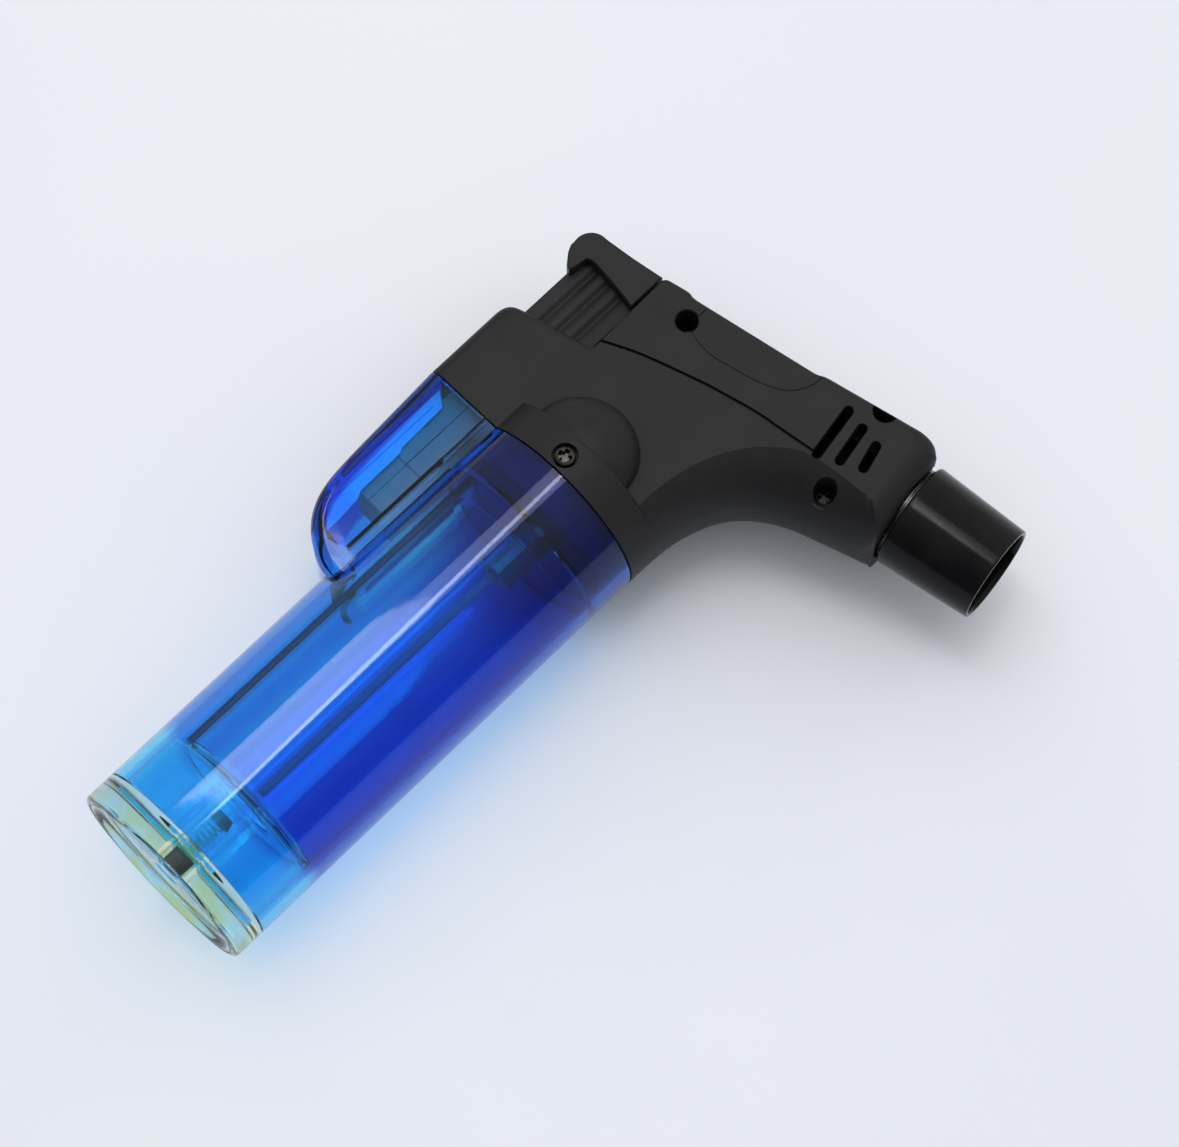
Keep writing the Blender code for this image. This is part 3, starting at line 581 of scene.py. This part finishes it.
def carve(piece, *cuts):
    """Joins or cuts tools in turn, each a (tool, "UNION" or "DIFFERENCE") pair, and removes them."""
    for tool, operation in cuts:
        change = piece.modifiers.new("change", "BOOLEAN")
        change.operation = operation
        change.solver = "EXACT"
        change.object = tool
    bake(piece)
    for tool, _ in cuts:
        bpy.data.objects.remove(tool)
    return piece


def bake(piece):
    """Makes the piece's modifiers part of its mesh."""
    graph = bpy.context.evaluated_depsgraph_get()
    look = piece.data.materials[0] if piece.data.materials else None
    mesh = bpy.data.meshes.new_from_object(piece.evaluated_get(graph))
    piece.modifiers.clear()
    mesh.materials.clear()
    if look:
        mesh.materials.append(look)
    piece.data = mesh


def finished(piece, body, nodes=(), sharp=24.0, bevel=0.0):
    """Smooth shading with sharp edges kept, and the piece's place in the frame."""
    shape = bmesh.new()
    shape.from_mesh(piece.data)
    bmesh.ops.remove_doubles(shape, verts=shape.verts, dist=0.000002)
    bmesh.ops.dissolve_degenerate(shape, edges=shape.edges, dist=0.000001)
    shape.to_mesh(piece.data)
    shape.free()
    if bevel:
        edge = piece.modifiers.new("edge", "BEVEL")
        edge.width = bevel * mm
        edge.segments = 2
        edge.limit_method = "ANGLE"
        edge.angle_limit = math.radians(38)
        edge.use_clamp_overlap = True
        bake(piece)
    piece.data.shade_smooth()
    piece.data.set_sharp_from_angle(angle=math.radians(sharp))
    weighted = piece.modifiers.new("flat_faces", "WEIGHTED_NORMAL")
    weighted.keep_sharp = True
    weighted.weight = 100
    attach(piece, body)
    if nodes:
        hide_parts(*nodes)
    return piece


def route(rows, between=4):
    """Points on a Catmull-Rom curve through the given rows of numbers."""
    ends = [rows[0], *rows, rows[-1]]
    made = []
    for a, b, c, d in zip(ends, ends[1:], ends[2:], ends[3:]):
        for step in range(between):
            t = step / between
            made.append(tuple(
                q + 0.5 * t * (r - p + t * (2 * p - 5 * q + 4 * r - s + t * (3 * q - p - 3 * r + s)))
                for p, q, r, s in zip(a, b, c, d)
            ))
    made.append(tuple(rows[-1]))
    return made


def eased(rows, reach=0.5, rounds=3):
    """The rows with each corner of their first two numbers cut down to a small round."""
    for _ in range(rounds):
        made = [rows[0]]
        for a, b in zip(rows, rows[1:]):
            t = min(0.25, reach / (math.dist(a[:2], b[:2]) or 1.0))
            made.append(tuple(p + (q - p) * t for p, q in zip(a, b)))
            made.append(tuple(q + (p - q) * t for p, q in zip(a, b)))
        rows = [*made, rows[-1]]
        reach /= 2
    return rows


def arc(centre, radius, start, end, count):
    """Points round a centre, from one angle to another in degrees."""
    return [
        (
            centre[0] + radius * math.cos(math.radians(start + (end - start) * i / count)),
            centre[1] + radius * math.sin(math.radians(start + (end - start) * i / count)),
        )
        for i in range(count + 1)
    ]


NOZZLE_AXIS = Vector((math.cos(NOZZLE_TILT), math.sin(NOZZLE_TILT), 0))


def on_axis(back):
    """A point of the burner's axis, a distance back from the mouth."""
    return MOUTH - NOZZLE_AXIS * back


# Head shells ------------------------------------------------------------------------------------------

# Stations round the head's side: the end of its middle plane (x, y), the end of its flat panel (x, y), how
# deep the rounding between them is, and the crease where it leaves the panel, in degrees
HEAD_BACK = [
    (-24.55, 70.0, -22.7, 70.0, 2.0, 0),
    (-24.55, 89.7, -22.8, 89.0, 1.9, 0),
    (-24.25, 90.9, -22.6, 90.0, 1.7, 0),
    (-23.5, 91.7, -22.1, 90.8, 1.5, 0),
    (-22.2, 92.15, -21.2, 91.3, 1.2, 0),
    (-10.6, 94.7, -10.25, 94.2, 0.35, 0),
    (-11.0, 109.8, -10.65, 109.1, 0.35, 0),
    (-8.4, 110.55, -8.2, 109.7, 1.0, 0),
    (-6.9, 110.9, -6.8, 109.9, 1.1, 0),
    (-6.0, 110.6, -5.9, 109.6, 1.1, 0),
    (14.7, 114.45, 14.8, 113.5, 1.1, 0),
    (15.7, 115.1, 15.7, 114.1, 1.2, 0),
    (31.6, 118.8, 29.8, 117.1, 2.0, 0),
    (33.5, 118.7, 30.6, 116.5, 2.4, 0),
    (34.9, 117.6, 31.4, 115.4, 2.6, 0),
]
HEAD_BELLY = [
    (35.3, 116.0, 31.6, 114.5, 2.6, 0),
    (36.85, 104.6, 32.8, 107.2, 3.4, 5),
    (36.6, 102.8, 32.3, 106.2, 6.0, 15),
    (34.9, 101.4, 31.0, 105.7, 9.0, 20),
    (30.1, 99.6, 26.5, 105.4, 9.2, 25),
    (25.7, 98.0, 21.5, 104.4, 9.2, 25),
    (21.5, 95.6, 16.9, 100.9, 9.2, 25),
    (18.3, 92.4, 13.6, 96.2, 9.2, 25),
    (16.4, 88.4, 11.7, 91.2, 9.2, 25),
    (15.4, 84.4, 10.8, 85.5, 9.2, 25),
    (15.0, 79.0, 10.9, 79.0, 9.2, 25),
    (15.0, 70.0, 11.2, 70.0, 9.2, 20),
]
ARC_STEPS = 10
CAVITY = [
    (-22.7, 74.0), (9.8, 74.0), (10.0, 88.0), (11.5, 92.0), (15.0, 97.3), (20.0, 102.9), (24.0, 104.3),
    (31.5, 105.4), (32.4, 108.0), (31.4, 114.0), (30.0, 115.6), (14.0, 112.2), (-8.6, 107.6), (-8.6, 93.2),
    (-10.9, 93.2), (-10.9, 96.0), (-22.7, 96.0),
]
CAVITY_HALF = 7.7
SLOTS = (((23.0, 105.5), (21.7, 113.3)), ((26.0, 107.0), (24.9, 112.7)), ((29.1, 108.5), (28.1, 112.1)))
SLOT_WIDTH = 1.5
DOME_X = -0.5
DOME_SIZE = (8.4, 8.1, 5.2)
TOP_HOLE = (-4.0, 107.2)
BARREL_HOLE = (27.3, 102.8)
BOSS_RADIUS = 2.2
SINK_RADIUS = 1.7
SINK_FLOOR = 4.0
COLLAR_SCREW = (-0.3, 79.0)
NOTCH = (25.4, 116.95)
NOTCH_RADIUS = 1.85
SPINE_SLOPE = 13.0
# The joint line across the side panel, and the edge of the shallow step round the top screw
GROOVE = [
    (-11.2, 96.1), (-6.8, 98.2), (-3.3, 99.55), (0.7, 100.85), (4.7, 102.1), (8.1, 102.95), (11.4, 103.75),
    (14.1, 104.25), (16.9, 104.6), (22.4, 105.4),
]
RECESS = [
    (-3.4, 107.0), (-2.1, 106.4), (-0.9, 106.0), (0.7, 105.8), (2.7, 105.9), (4.8, 106.35), (7.4, 106.95),
    (10.3, 107.8), (12.1, 108.6), (13.7, 109.7), (14.8, 111.2), (15.4, 112.6), (15.6, 114.3), (15.6, 118.0),
]


def head_rings():
    """Rings round the head's outline, from the right panel's edge over the rounding to the left panel's."""
    stations = eased(HEAD_BACK) + route(HEAD_BELLY, 5)
    levels = [90 * i / ARC_STEPS for i in range(ARC_STEPS + 1)]
    rings = []
    for side, order in ((1, levels), (-1, levels[::-1])):
        for level in order:
            ring = []
            for outer_x, outer_y, panel_x, panel_y, depth, crease in stations:
                start = math.radians(crease)
                angle = start + (math.pi / 2 - start) * level / 90
                reach = (math.sin(angle) - math.sin(start)) / (1 - math.sin(start))
                drop = math.cos(angle) / math.cos(start)
                height = PANEL_HALF - depth * (1 - drop)
                ring.append((
                    panel_x + (outer_x - panel_x) * reach,
                    panel_y + (outer_y - panel_y) * reach,
                    side * height,
                ))
            rings.append(ring)
    return rings


def slot_outline(start, end, width):
    """A slot with round ends, between the centres of its ends, counter-clockwise."""
    heading = math.degrees(math.atan2(end[1] - start[1], end[0] - start[0]))
    return (
        arc(end, width / 2, heading - 90, heading + 90, 10)
        + arc(start, width / 2, heading + 90, heading + 270, 10)
    )


def ribbon(points, half):
    """A counter-clockwise strip along a line of points."""
    sides = [[], []]
    for i, point in enumerate(points):
        before, after = Vector(points[max(i - 1, 0)]), Vector(points[min(i + 1, len(points) - 1)])
        along = (after - before).normalized()
        across = Vector((along.y, -along.x)) * half
        sides[0].append((point[0] + across.x, point[1] + across.y))
        sides[1].append((point[0] - across.x, point[1] - across.y))
    return sides[0] + sides[1][::-1]


def head_joins():
    """What stands out from the lofted head: the collar round the tank's end and a dome on each side."""
    shoulder = [
        (0, 60), (TANK_RADIUS, 60), (TANK_RADIUS, 81.7), (14.93, 81.98), (14.75, 82.22), (14.5, 82.36),
        (14.2, COLLAR_TOP), (0, COLLAR_TOP),
    ]
    joins = [turned("collar", shoulder, (0, 0, 0), (0, 1, 0), steps=128)]
    for side in (-1, 1):
        def build(shape):
            bmesh.ops.create_uvsphere(shape, u_segments=64, v_segments=32, radius=1)
            bmesh.ops.scale(shape, vec=DOME_SIZE, verts=shape.verts)
            bmesh.ops.translate(shape, vec=(DOME_X, COLLAR_TOP, side * PANEL_HALF), verts=shape.verts)

        joins.append(add(f"dome_{side}", mesh_from("dome", build)))
    return joins


def head_openings():
    """The vents, the notch in the spine and the holes for the screws on the right side."""
    cuts = []
    for number, (start, end) in enumerate(SLOTS):
        for side in (-1, 1):
            low, high = sorted((side * 5.0, side * (PANEL_HALF + 0.15)))
            outline = slot_outline(start, end, SLOT_WIDTH)
            cuts.append(prism(f"vent_{number}_{side}", outline, low, high, flare=0.22))
    half_disc = arc(NOTCH, NOTCH_RADIUS, 180 + SPINE_SLOPE, 360 + SPINE_SLOPE, 24)
    for side in (-1, 1):
        low, high = sorted((side * 5.0, side * 20))
        cuts.append(prism(f"notch_{side}", half_disc, low, high))
    for x, y in (TOP_HOLE, BARREL_HOLE):
        mouth, floor = (x, y, PANEL_HALF + 0.1), (x, y, SINK_FLOOR)
        cuts.append(rod("sink", SINK_RADIUS, mouth, floor, steps=40, flare=0.25))
        cuts.append(rod("way", 1.1, (x, y, -5.4), (x, y, 6), steps=24))
    return cuts


def side_marks():
    """On each side, the collar screw's hole, the joint line and the shallow step with its line."""
    cuts = []
    for side in (-1, 1):
        ends = ((*COLLAR_SCREW, side * 15.2), (*COLLAR_SCREW, side * 13.7))
        cuts.append(rod(f"collar_sink_{side}", 1.9, *ends, steps=40))
        ends = ((*COLLAR_SCREW, side * 15), (*COLLAR_SCREW, side * 11))
        cuts.append(rod(f"collar_way_{side}", 1.1, *ends, steps=24))
        low, high = sorted((side * 8.7, side * 9.8))
        cuts.append(prism(f"groove_{side}", ribbon(route(GROOVE), 0.24), low, high))
        edge = route(RECESS)
        low, high = sorted((side * 9.22, side * 12.0))
        cuts.append(prism(f"recess_{side}", edge + [(-3.4, 118.0)], low, high))
        low, high = sorted((side * 9.05, side * 12.0))
        cuts.append(prism(f"recess_line_{side}", ribbon(edge[2:-4], 0.16), low, high))
    return cuts


def make_shells():
    """One whole head, cut in two along its middle plane."""
    cuts = [(join, "UNION") for join in head_joins()]
    cuts.append((block("low_trim", (-40, 50, -30), (40, HEAD_LOW, 30)), "DIFFERENCE"))
    cuts.append((prism("cavity", CAVITY, -CAVITY_HALF, CAVITY_HALF), "DIFFERENCE"))
    cuts.append((rod("collar_bore", 13.2, (0, 60, 0), (0, 81.5, 0), steps=64), "DIFFERENCE"))
    for number, ((x, y), reach) in enumerate(((TOP_HOLE, 7.9), (BARREL_HOLE, 6.0))):
        cuts.append((rod(f"boss_{number}", BOSS_RADIUS, (x, y, -reach), (x, y, reach)), "UNION"))
    for radius, deep in ((7.2, 21.5), (7.75, 16.2)):
        bore = rod("nose_bore", radius, on_axis(12), on_axis(deep), steps=96)
        cuts.append((bore, "DIFFERENCE"))
    cuts += [(tool, "DIFFERENCE") for tool in head_openings() + side_marks()]

    whole = add("head", mesh_from("head", loft(head_rings())), "black_plastic")
    carve(whole, *cuts)
    for name, side in (("shell_right", 1), ("shell_left", -1)):
        shell = add(name, whole.data.copy(), "black_plastic")
        low, high = sorted((side * 0.03, -side * 40))
        carve(shell, (block("other", (-60, 40, low), (80, 140, high)), "DIFFERENCE"))
        finished(shell, "housing", ("head_" + name,), sharp=21)
    bpy.data.objects.remove(whole)


# Thumb button -----------------------------------------------------------------------------------------

def make_button():
    """The thumb button: a column with three upright grooves on each side, under a hooked cap."""
    rear, front, half, low, high = -22.1, -11.3, 7.4, 84.5, 104.6
    first, pitch, depth, spread = -19.2, 2.65, 0.4, 0.55
    side = []
    steps = 72
    for i in range(steps + 1):
        x = front + (rear + 0.4 - front) * i / steps
        near = min(abs(x - (first + pitch * k)) for k in range(3))
        side.append((x, half - depth * math.exp(-(near / spread) ** 2)))
    corner = [(rear + 0.12, half - 0.15), (rear, half - 0.5)]
    right = side + corner
    outline = right + [(x, -z) for x, z in right[::-1]]
    rings = [[(x, y, z) for x, z in outline] for y in (low, high)]
    column = add("thumb_button", mesh_from("column", loft(rings)), "button")
    nose = arc((-21.4, 105.5), 2.8, 84, 192, 16)
    cap_line = [
        (-20.9, 104.0), (-20.3, 104.3), (-19.4, 104.35), (-16.9, 104.1), (-14.0, 103.7), (-11.2, 103.2),
        (-11.2, 109.6), (-16.4, 108.8), *nose, (-24.1, 104.0), (-23.6, 103.0), (-22.8, 102.0),
        (-22.2, 101.3), (-21.5, 101.1), (-21.2, 101.9),
    ]
    cap = prism("cap", cap_line, -PANEL_HALF, PANEL_HALF, round_by=0.35)
    seat = block("seat", (-20.9, 80, -4.3), (-15.1, 88.3, 4.3))
    carve(column, (cap, "UNION"), (seat, "DIFFERENCE"))
    finished(column, "thumb_button", ("ignition_button",), sharp=21)


# Flame shroud -----------------------------------------------------------------------------------------

def make_shroud():
    """The flame shroud and the thin ring at its root, as profiles from the mouth back."""
    profile = [
        (6.75, -0.03), (6.85, 0.0), (7.2, 0.0), (7.31, -0.1), (7.34, -0.35), (7.68, -7.5), (7.99, -14.2),
        (8.02, -14.6), (7.95, -14.85), (7.75, -15.0), (7.2, -15.0), (7.2, -11.6), (6.4, -11.0),
        (6.55, -0.9), (6.68, -0.2),
    ]
    shroud = turned("flame_shroud", profile, MOUTH, NOZZLE_AXIS, "gloss_black", 128)
    finished(shroud, "housing", ("nozzle_shroud",), sharp=40)
    profile = [
        (6.9, -12.0), (6.9, -15.25), (7.0, -15.3), (7.06, -15.38), (7.06, -15.7), (7.0, -15.8),
        (6.9, -15.8), (6.9, -20.0), (6.4, -20.0), (6.4, -12.0),
    ]
    ring = turned("shroud_ring", profile, MOUTH, NOZZLE_AXIS, "bright_steel", 96)
    finished(ring, "housing", ("nozzle_ring",), sharp=35)


# Screws -----------------------------------------------------------------------------------------------

def make_screw(name, node, place, outward, head, length, look, spin):
    """A pan-head screw with a cross recess, whose seat is at place."""
    profile = [
        (0, 1.0), (head * 0.45, 0.98), (head * 0.75, 0.9), (head * 0.93, 0.72), (head, 0.45), (head, 0.0),
        (0.8, 0.0), (0.8, -length + 0.8), (0, -length),
    ]
    screw = turned(name, profile, place, outward, look, 48)
    turn = Vector(outward).to_track_quat("Z", "Y").to_matrix()
    levels = ((0.1, 0.45 * head, 0.18 * head), (1.2, 0.78 * head, 0.28 * head))
    for k in range(2):
        angle = spin + math.pi / 2 * k
        one = Vector((math.cos(angle), math.sin(angle), 0))
        two = Vector((-math.sin(angle), math.cos(angle), 0))
        rings = []
        for height, long, wide in levels:
            corners = ((long, wide), (-long, wide), (-long, -wide), (long, -wide))
            rings.append([
                Vector(place) + turn @ (one * a + two * b + Vector((0, 0, height))) for a, b in corners
            ])
        carve(screw, (add("cross", mesh_from("cross", loft(rings))), "DIFFERENCE"))
    finished(screw, "housing", (node,), sharp=30)


def make_screws():
    right = (0, 0, 1)
    for node, hole, spin in (("top_screw", TOP_HOLE, 0.3), ("barrel_screw", BARREL_HOLE, 0.9)):
        make_screw(node + "_head", node, (*hole, 4.3), right, 1.4, 8.5, "black_steel", spin)
    for name, side in (("right", 1), ("left", -1)):
        place = (*COLLAR_SCREW, side * 14.0)
        names = (f"collar_screw_head_{name}", f"collar_screw_{name}")
        make_screw(*names, place, (0, 0, side), 1.5, 6.0, "old_brass", 0.25)


# Tank -------------------------------------------------------------------------------------------------

# The igniter's pocket, and a light blue plate in it beside the igniter that puts painted light where bright
# blue shows through the pocket
POCKET = [
    (-22.7, 79.0), (-22.7, 57.0), (-22.3, 54.7), (-21.2, 52.3), (-19.8, 50.6), (-18.2, 49.7), (-15.2, 49.2),
    (-14.3, 50.0), (-14.3, 79.0),
]
POCKET_HALF = 7.6
PLATE = [
    (-22.5, 76.0), (-22.5, 57.1), (-22.1, 54.9), (-21.0, 52.6), (-19.7, 51.0), (-18.6, 50.2), (-18.5, 52.0),
    (-18.9, 56.4), (-19.5, 57.6), (-19.6, 65.4), (-20.0, 66.2), (-20.3, 74.4),
]


def make_tank():
    """The round handle and the flat-sided bulge behind it, hollowed for the fuel, the valve and the
    igniter."""
    outer = [
        (0, TANK_LOW), (TANK_RADIUS - 0.1, TANK_LOW), (TANK_RADIUS, TANK_LOW + 0.1),
        (TANK_RADIUS, TANK_TOP), (0, TANK_TOP),
    ]
    tank = turned("tank_shell", outer, (0, 0, 0), (0, 1, 0), "blue_clear_plastic", 160)
    above = TANK_TOP + 4
    outline = [(-8, 44.2), (-8, above), (BULGE_REAR, above)] + route(BULGE, 6)[::-1]
    bulge = prism("bulge", outline, -PANEL_HALF, PANEL_HALF, round_by=2.0, steps=8)
    trim = block("trim", (-40, TANK_TOP, -20), (10, 90, 20))
    chamber = rod("chamber", TANK_RADIUS - TANK_WALL, (0, TANK_LOW - 2, 0), (0, 68.6, 0), steps=160)
    cup = rod("cup", 13.3, (0, 69.5, 0), (0, TANK_TOP + 2, 0), steps=96)
    hole = rod("hole", 3.4, (1, 64, 0), (1, 72, 0), steps=48)
    pocket = prism("pocket", POCKET, -POCKET_HALF, POCKET_HALF)
    carve(
        tank, (bulge, "UNION"), (trim, "DIFFERENCE"), (chamber, "DIFFERENCE"), (cup, "DIFFERENCE"),
        (hole, "DIFFERENCE"), (pocket, "DIFFERENCE"),
    )
    finished(tank, "housing", ("fuel_tank",), sharp=24)


def make_fill_valve():
    """The filling valve: a blackened inlet and tip on a clear barrel."""
    pieces = {
        "fill_valve_inlet": ("rubber", [
            (1.75, 4.2), (1.75, 1.9), (1.65, 1.75), (1.5, 1.7), (1.05, 1.7), (0.95, 1.8), (0.95, 3.2),
            (1.45, 3.2), (1.45, 4.2),
        ]),
        "fill_valve_barrel": ("clear_plastic", [(1.9, 10.6), (1.9, 4.25), (1.45, 4.25), (1.45, 10.6)]),
        "fill_valve_tip": ("rubber", [(1.3, 12.2), (1.75, 10.65), (1.45, 10.65), (0.6, 10.8), (0.6, 12.2)]),
    }
    for name, (look, profile) in pieces.items():
        piece = turned(name, profile, (0, 0, 0), (0, 1, 0), look, 48)
        finished(piece, "housing", ("fill_valve_body",), sharp=30)


def make_liner():
    """The thin cup inside the tank, with a thin and a thick dark rod joined at their feet, which paint dark
    lines of shade in the tank, and a small plug.
    """
    radius, wall, low, top = LINER_RADIUS, 0.6, LINER_LOW, 66.2
    profile = [
        (radius, top), (radius, low + 0.9), (radius - 0.12, low + 0.4), (radius - 0.4, low + 0.1),
        (radius - 0.8, low), (5.0, low), (5.0, low + wall), (radius - 1.1, low + wall),
        (radius - wall, low + 1.2), (radius - wall, top),
    ]
    liner = turned("liner_cup", profile, (LINER_X, 0, 0), (0, 1, 0), "pale_blue", 128)
    finished(liner, "housing", ("fuel_liner",), sharp=30)

    # Two dark rods and a foot across them: painted shade, dark lines in the tank
    foot_y = low + 0.8
    shade_rods = []
    for angle, thick, shade_rod_top in ((158.0, 0.2, 60.0), (143.5, 0.36, 63.0)):
        out = Vector((math.cos(math.radians(angle)), 0, math.sin(math.radians(angle))))
        foot = Vector((LINER_X, foot_y, 0)) + out * (radius + 0.2)
        head = foot + Vector((0, shade_rod_top - foot_y, 0))
        shade_rods.append(rod("liner_shade_lines", thick, foot, head, "deep_blue", 12))
    shade_lines, thick_shade_line = shade_rods
    cross = rod("foot", 0.2, (-10.3, 15.6, 4.5), (-8.7, 15.6, 7.2), steps=12)
    carve(shade_lines, (cross, "UNION"), (thick_shade_line, "UNION"))
    finished(shade_lines, "housing", sharp=40)

    out, foot = Vector((-0.753, 0, 0.658)), Vector((LINER_X, 45.4, 0))
    plug = rod("liner_plug", 0.6, foot + out * 12.1, foot + out * 12.85, "rubber", 24)
    finished(plug, "housing", sharp=30, bevel=0.12)


def make_igniter():
    """The igniter's stepped case, bored for the plunger and its spring."""
    front = -14.45
    case = block("igniter_case", (-21.3, 64.9, -4.8), (front, 78.0, 4.8), "grey_plastic", 0.25)
    lower = block("case_lower", (-20.2, 57.4, -4.5), (front, 66.0, 4.5), round_by=0.25)
    cuts = [
        block("bore", (-20.6, 64.1, -4.1), (-15.2, 80, 4.1)),
        block("spring_bore", (-19.8, 61.9, -1.9), (-16.2, 66, 1.9)),
        *(block(f"seam_{z}", (-18.0, 50, z), (-17.8, 90, z + 0.35)) for z in (4.3, 4.6, -4.9)),
        block("step", (-30, 70.5, 4.6), (-18.6, 90, 6)),
    ]
    carve(case, (lower, "UNION"), *((tool, "DIFFERENCE") for tool in cuts))
    finished(case, "housing", ("piezo_body",), sharp=30)


def make_plate():
    """A light blue plate beside the igniter, with a fine line along it: painted light, a pale sheet where
    bright blue shows through the pocket.
    """
    plate = prism("pocket_plate", PLATE, 4.95, 5.35, "azure")
    crease = prism("crease", ribbon([(-21.3, 54.5), (-21.3, 73.5)], 0.12), 5.1, 6)
    carve(plate, (crease, "DIFFERENCE"))
    finished(plate, "housing", sharp=30)


def make_base():
    """The clear plug: a rim with a dished foot, a hub round the filling valve and a skirt in the tank."""
    profile = [
        (13.0, 14.2), (13.0, 4.9), (14.9, 4.9), (15.0, 4.8), (15.0, 0.6), (14.85, 0.2), (14.5, 0.0),
        (14.25, 0.0), (14.1, 0.2), (13.85, 0.2), (13.7, 0.0), (13.3, 0.0), (13.0, 0.15), (12.7, 0.5),
        (12.3, 0.8), (11.6, 1.0), (2.4, 1.1), (2.2, 1.3), (2.2, 14.0), (4.4, 14.0), (4.4, 5.4),
        (11.4, 5.4), (11.4, 14.2),
    ]
    base = turned("clear_base_cap", profile, (0, 0, 0), (0, 1, 0), "clear_plastic", 128)
    finished(base, "housing", ("base_plug",), sharp=30)


# The looks of the CAD nodes whose shapes stay as they are
CARRIED = {
    "fill_valve_stem": "clear_plastic",
    "fill_valve_seal": "rubber",
    "fill_valve_spring": "clear_plastic",
    "fuel_wick": "wick",
    "gas_valve_body": "brass",
    "gas_valve_stem": "brass",
    "gas_valve_seal": "rubber",
    "gas_valve_spring": "steel",
    "gas_lever": "steel",
    "lever_pin": "steel",
    "valve_carrier": "deep_blue",
    "gas_hose": "hose",
    # The jet and tube are near-black brass: painted shade inside the head
    "burner_jet": "brass_soot_and_painted_shade",
    "mixing_tube": "brass_soot_and_painted_shade",
    "flame_holder": "steel",
    "electrode_insulator": "ceramic",
    "electrode_pin": "steel",
    "ignition_lead": "blue_lead",
    "piezo_plunger": "grey_plastic",
    "piezo_spring": "steel",
}


def dress_carried_nodes():
    """Gives the nodes in CARRIED their looks."""
    for name, look in CARRIED.items():
        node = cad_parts[name]
        node.data.materials.clear()
        node.data.materials.append(LOOKS[look])


make_camera()
make_stage()
make_lights()
make_shells()
make_button()
make_shroud()
make_screws()
make_tank()
make_fill_valve()
make_liner()
make_igniter()
make_plate()
make_base()
dress_carried_nodes()

scene = bpy.context.scene
scene.view_settings.view_transform = "Standard"
scene.cycles.use_denoising = True
scene.cycles.max_bounces = 24
scene.cycles.transmission_bounces = 24
scene.cycles.transparent_max_bounces = 32
scene.cycles.sample_clamp_indirect = 3.0
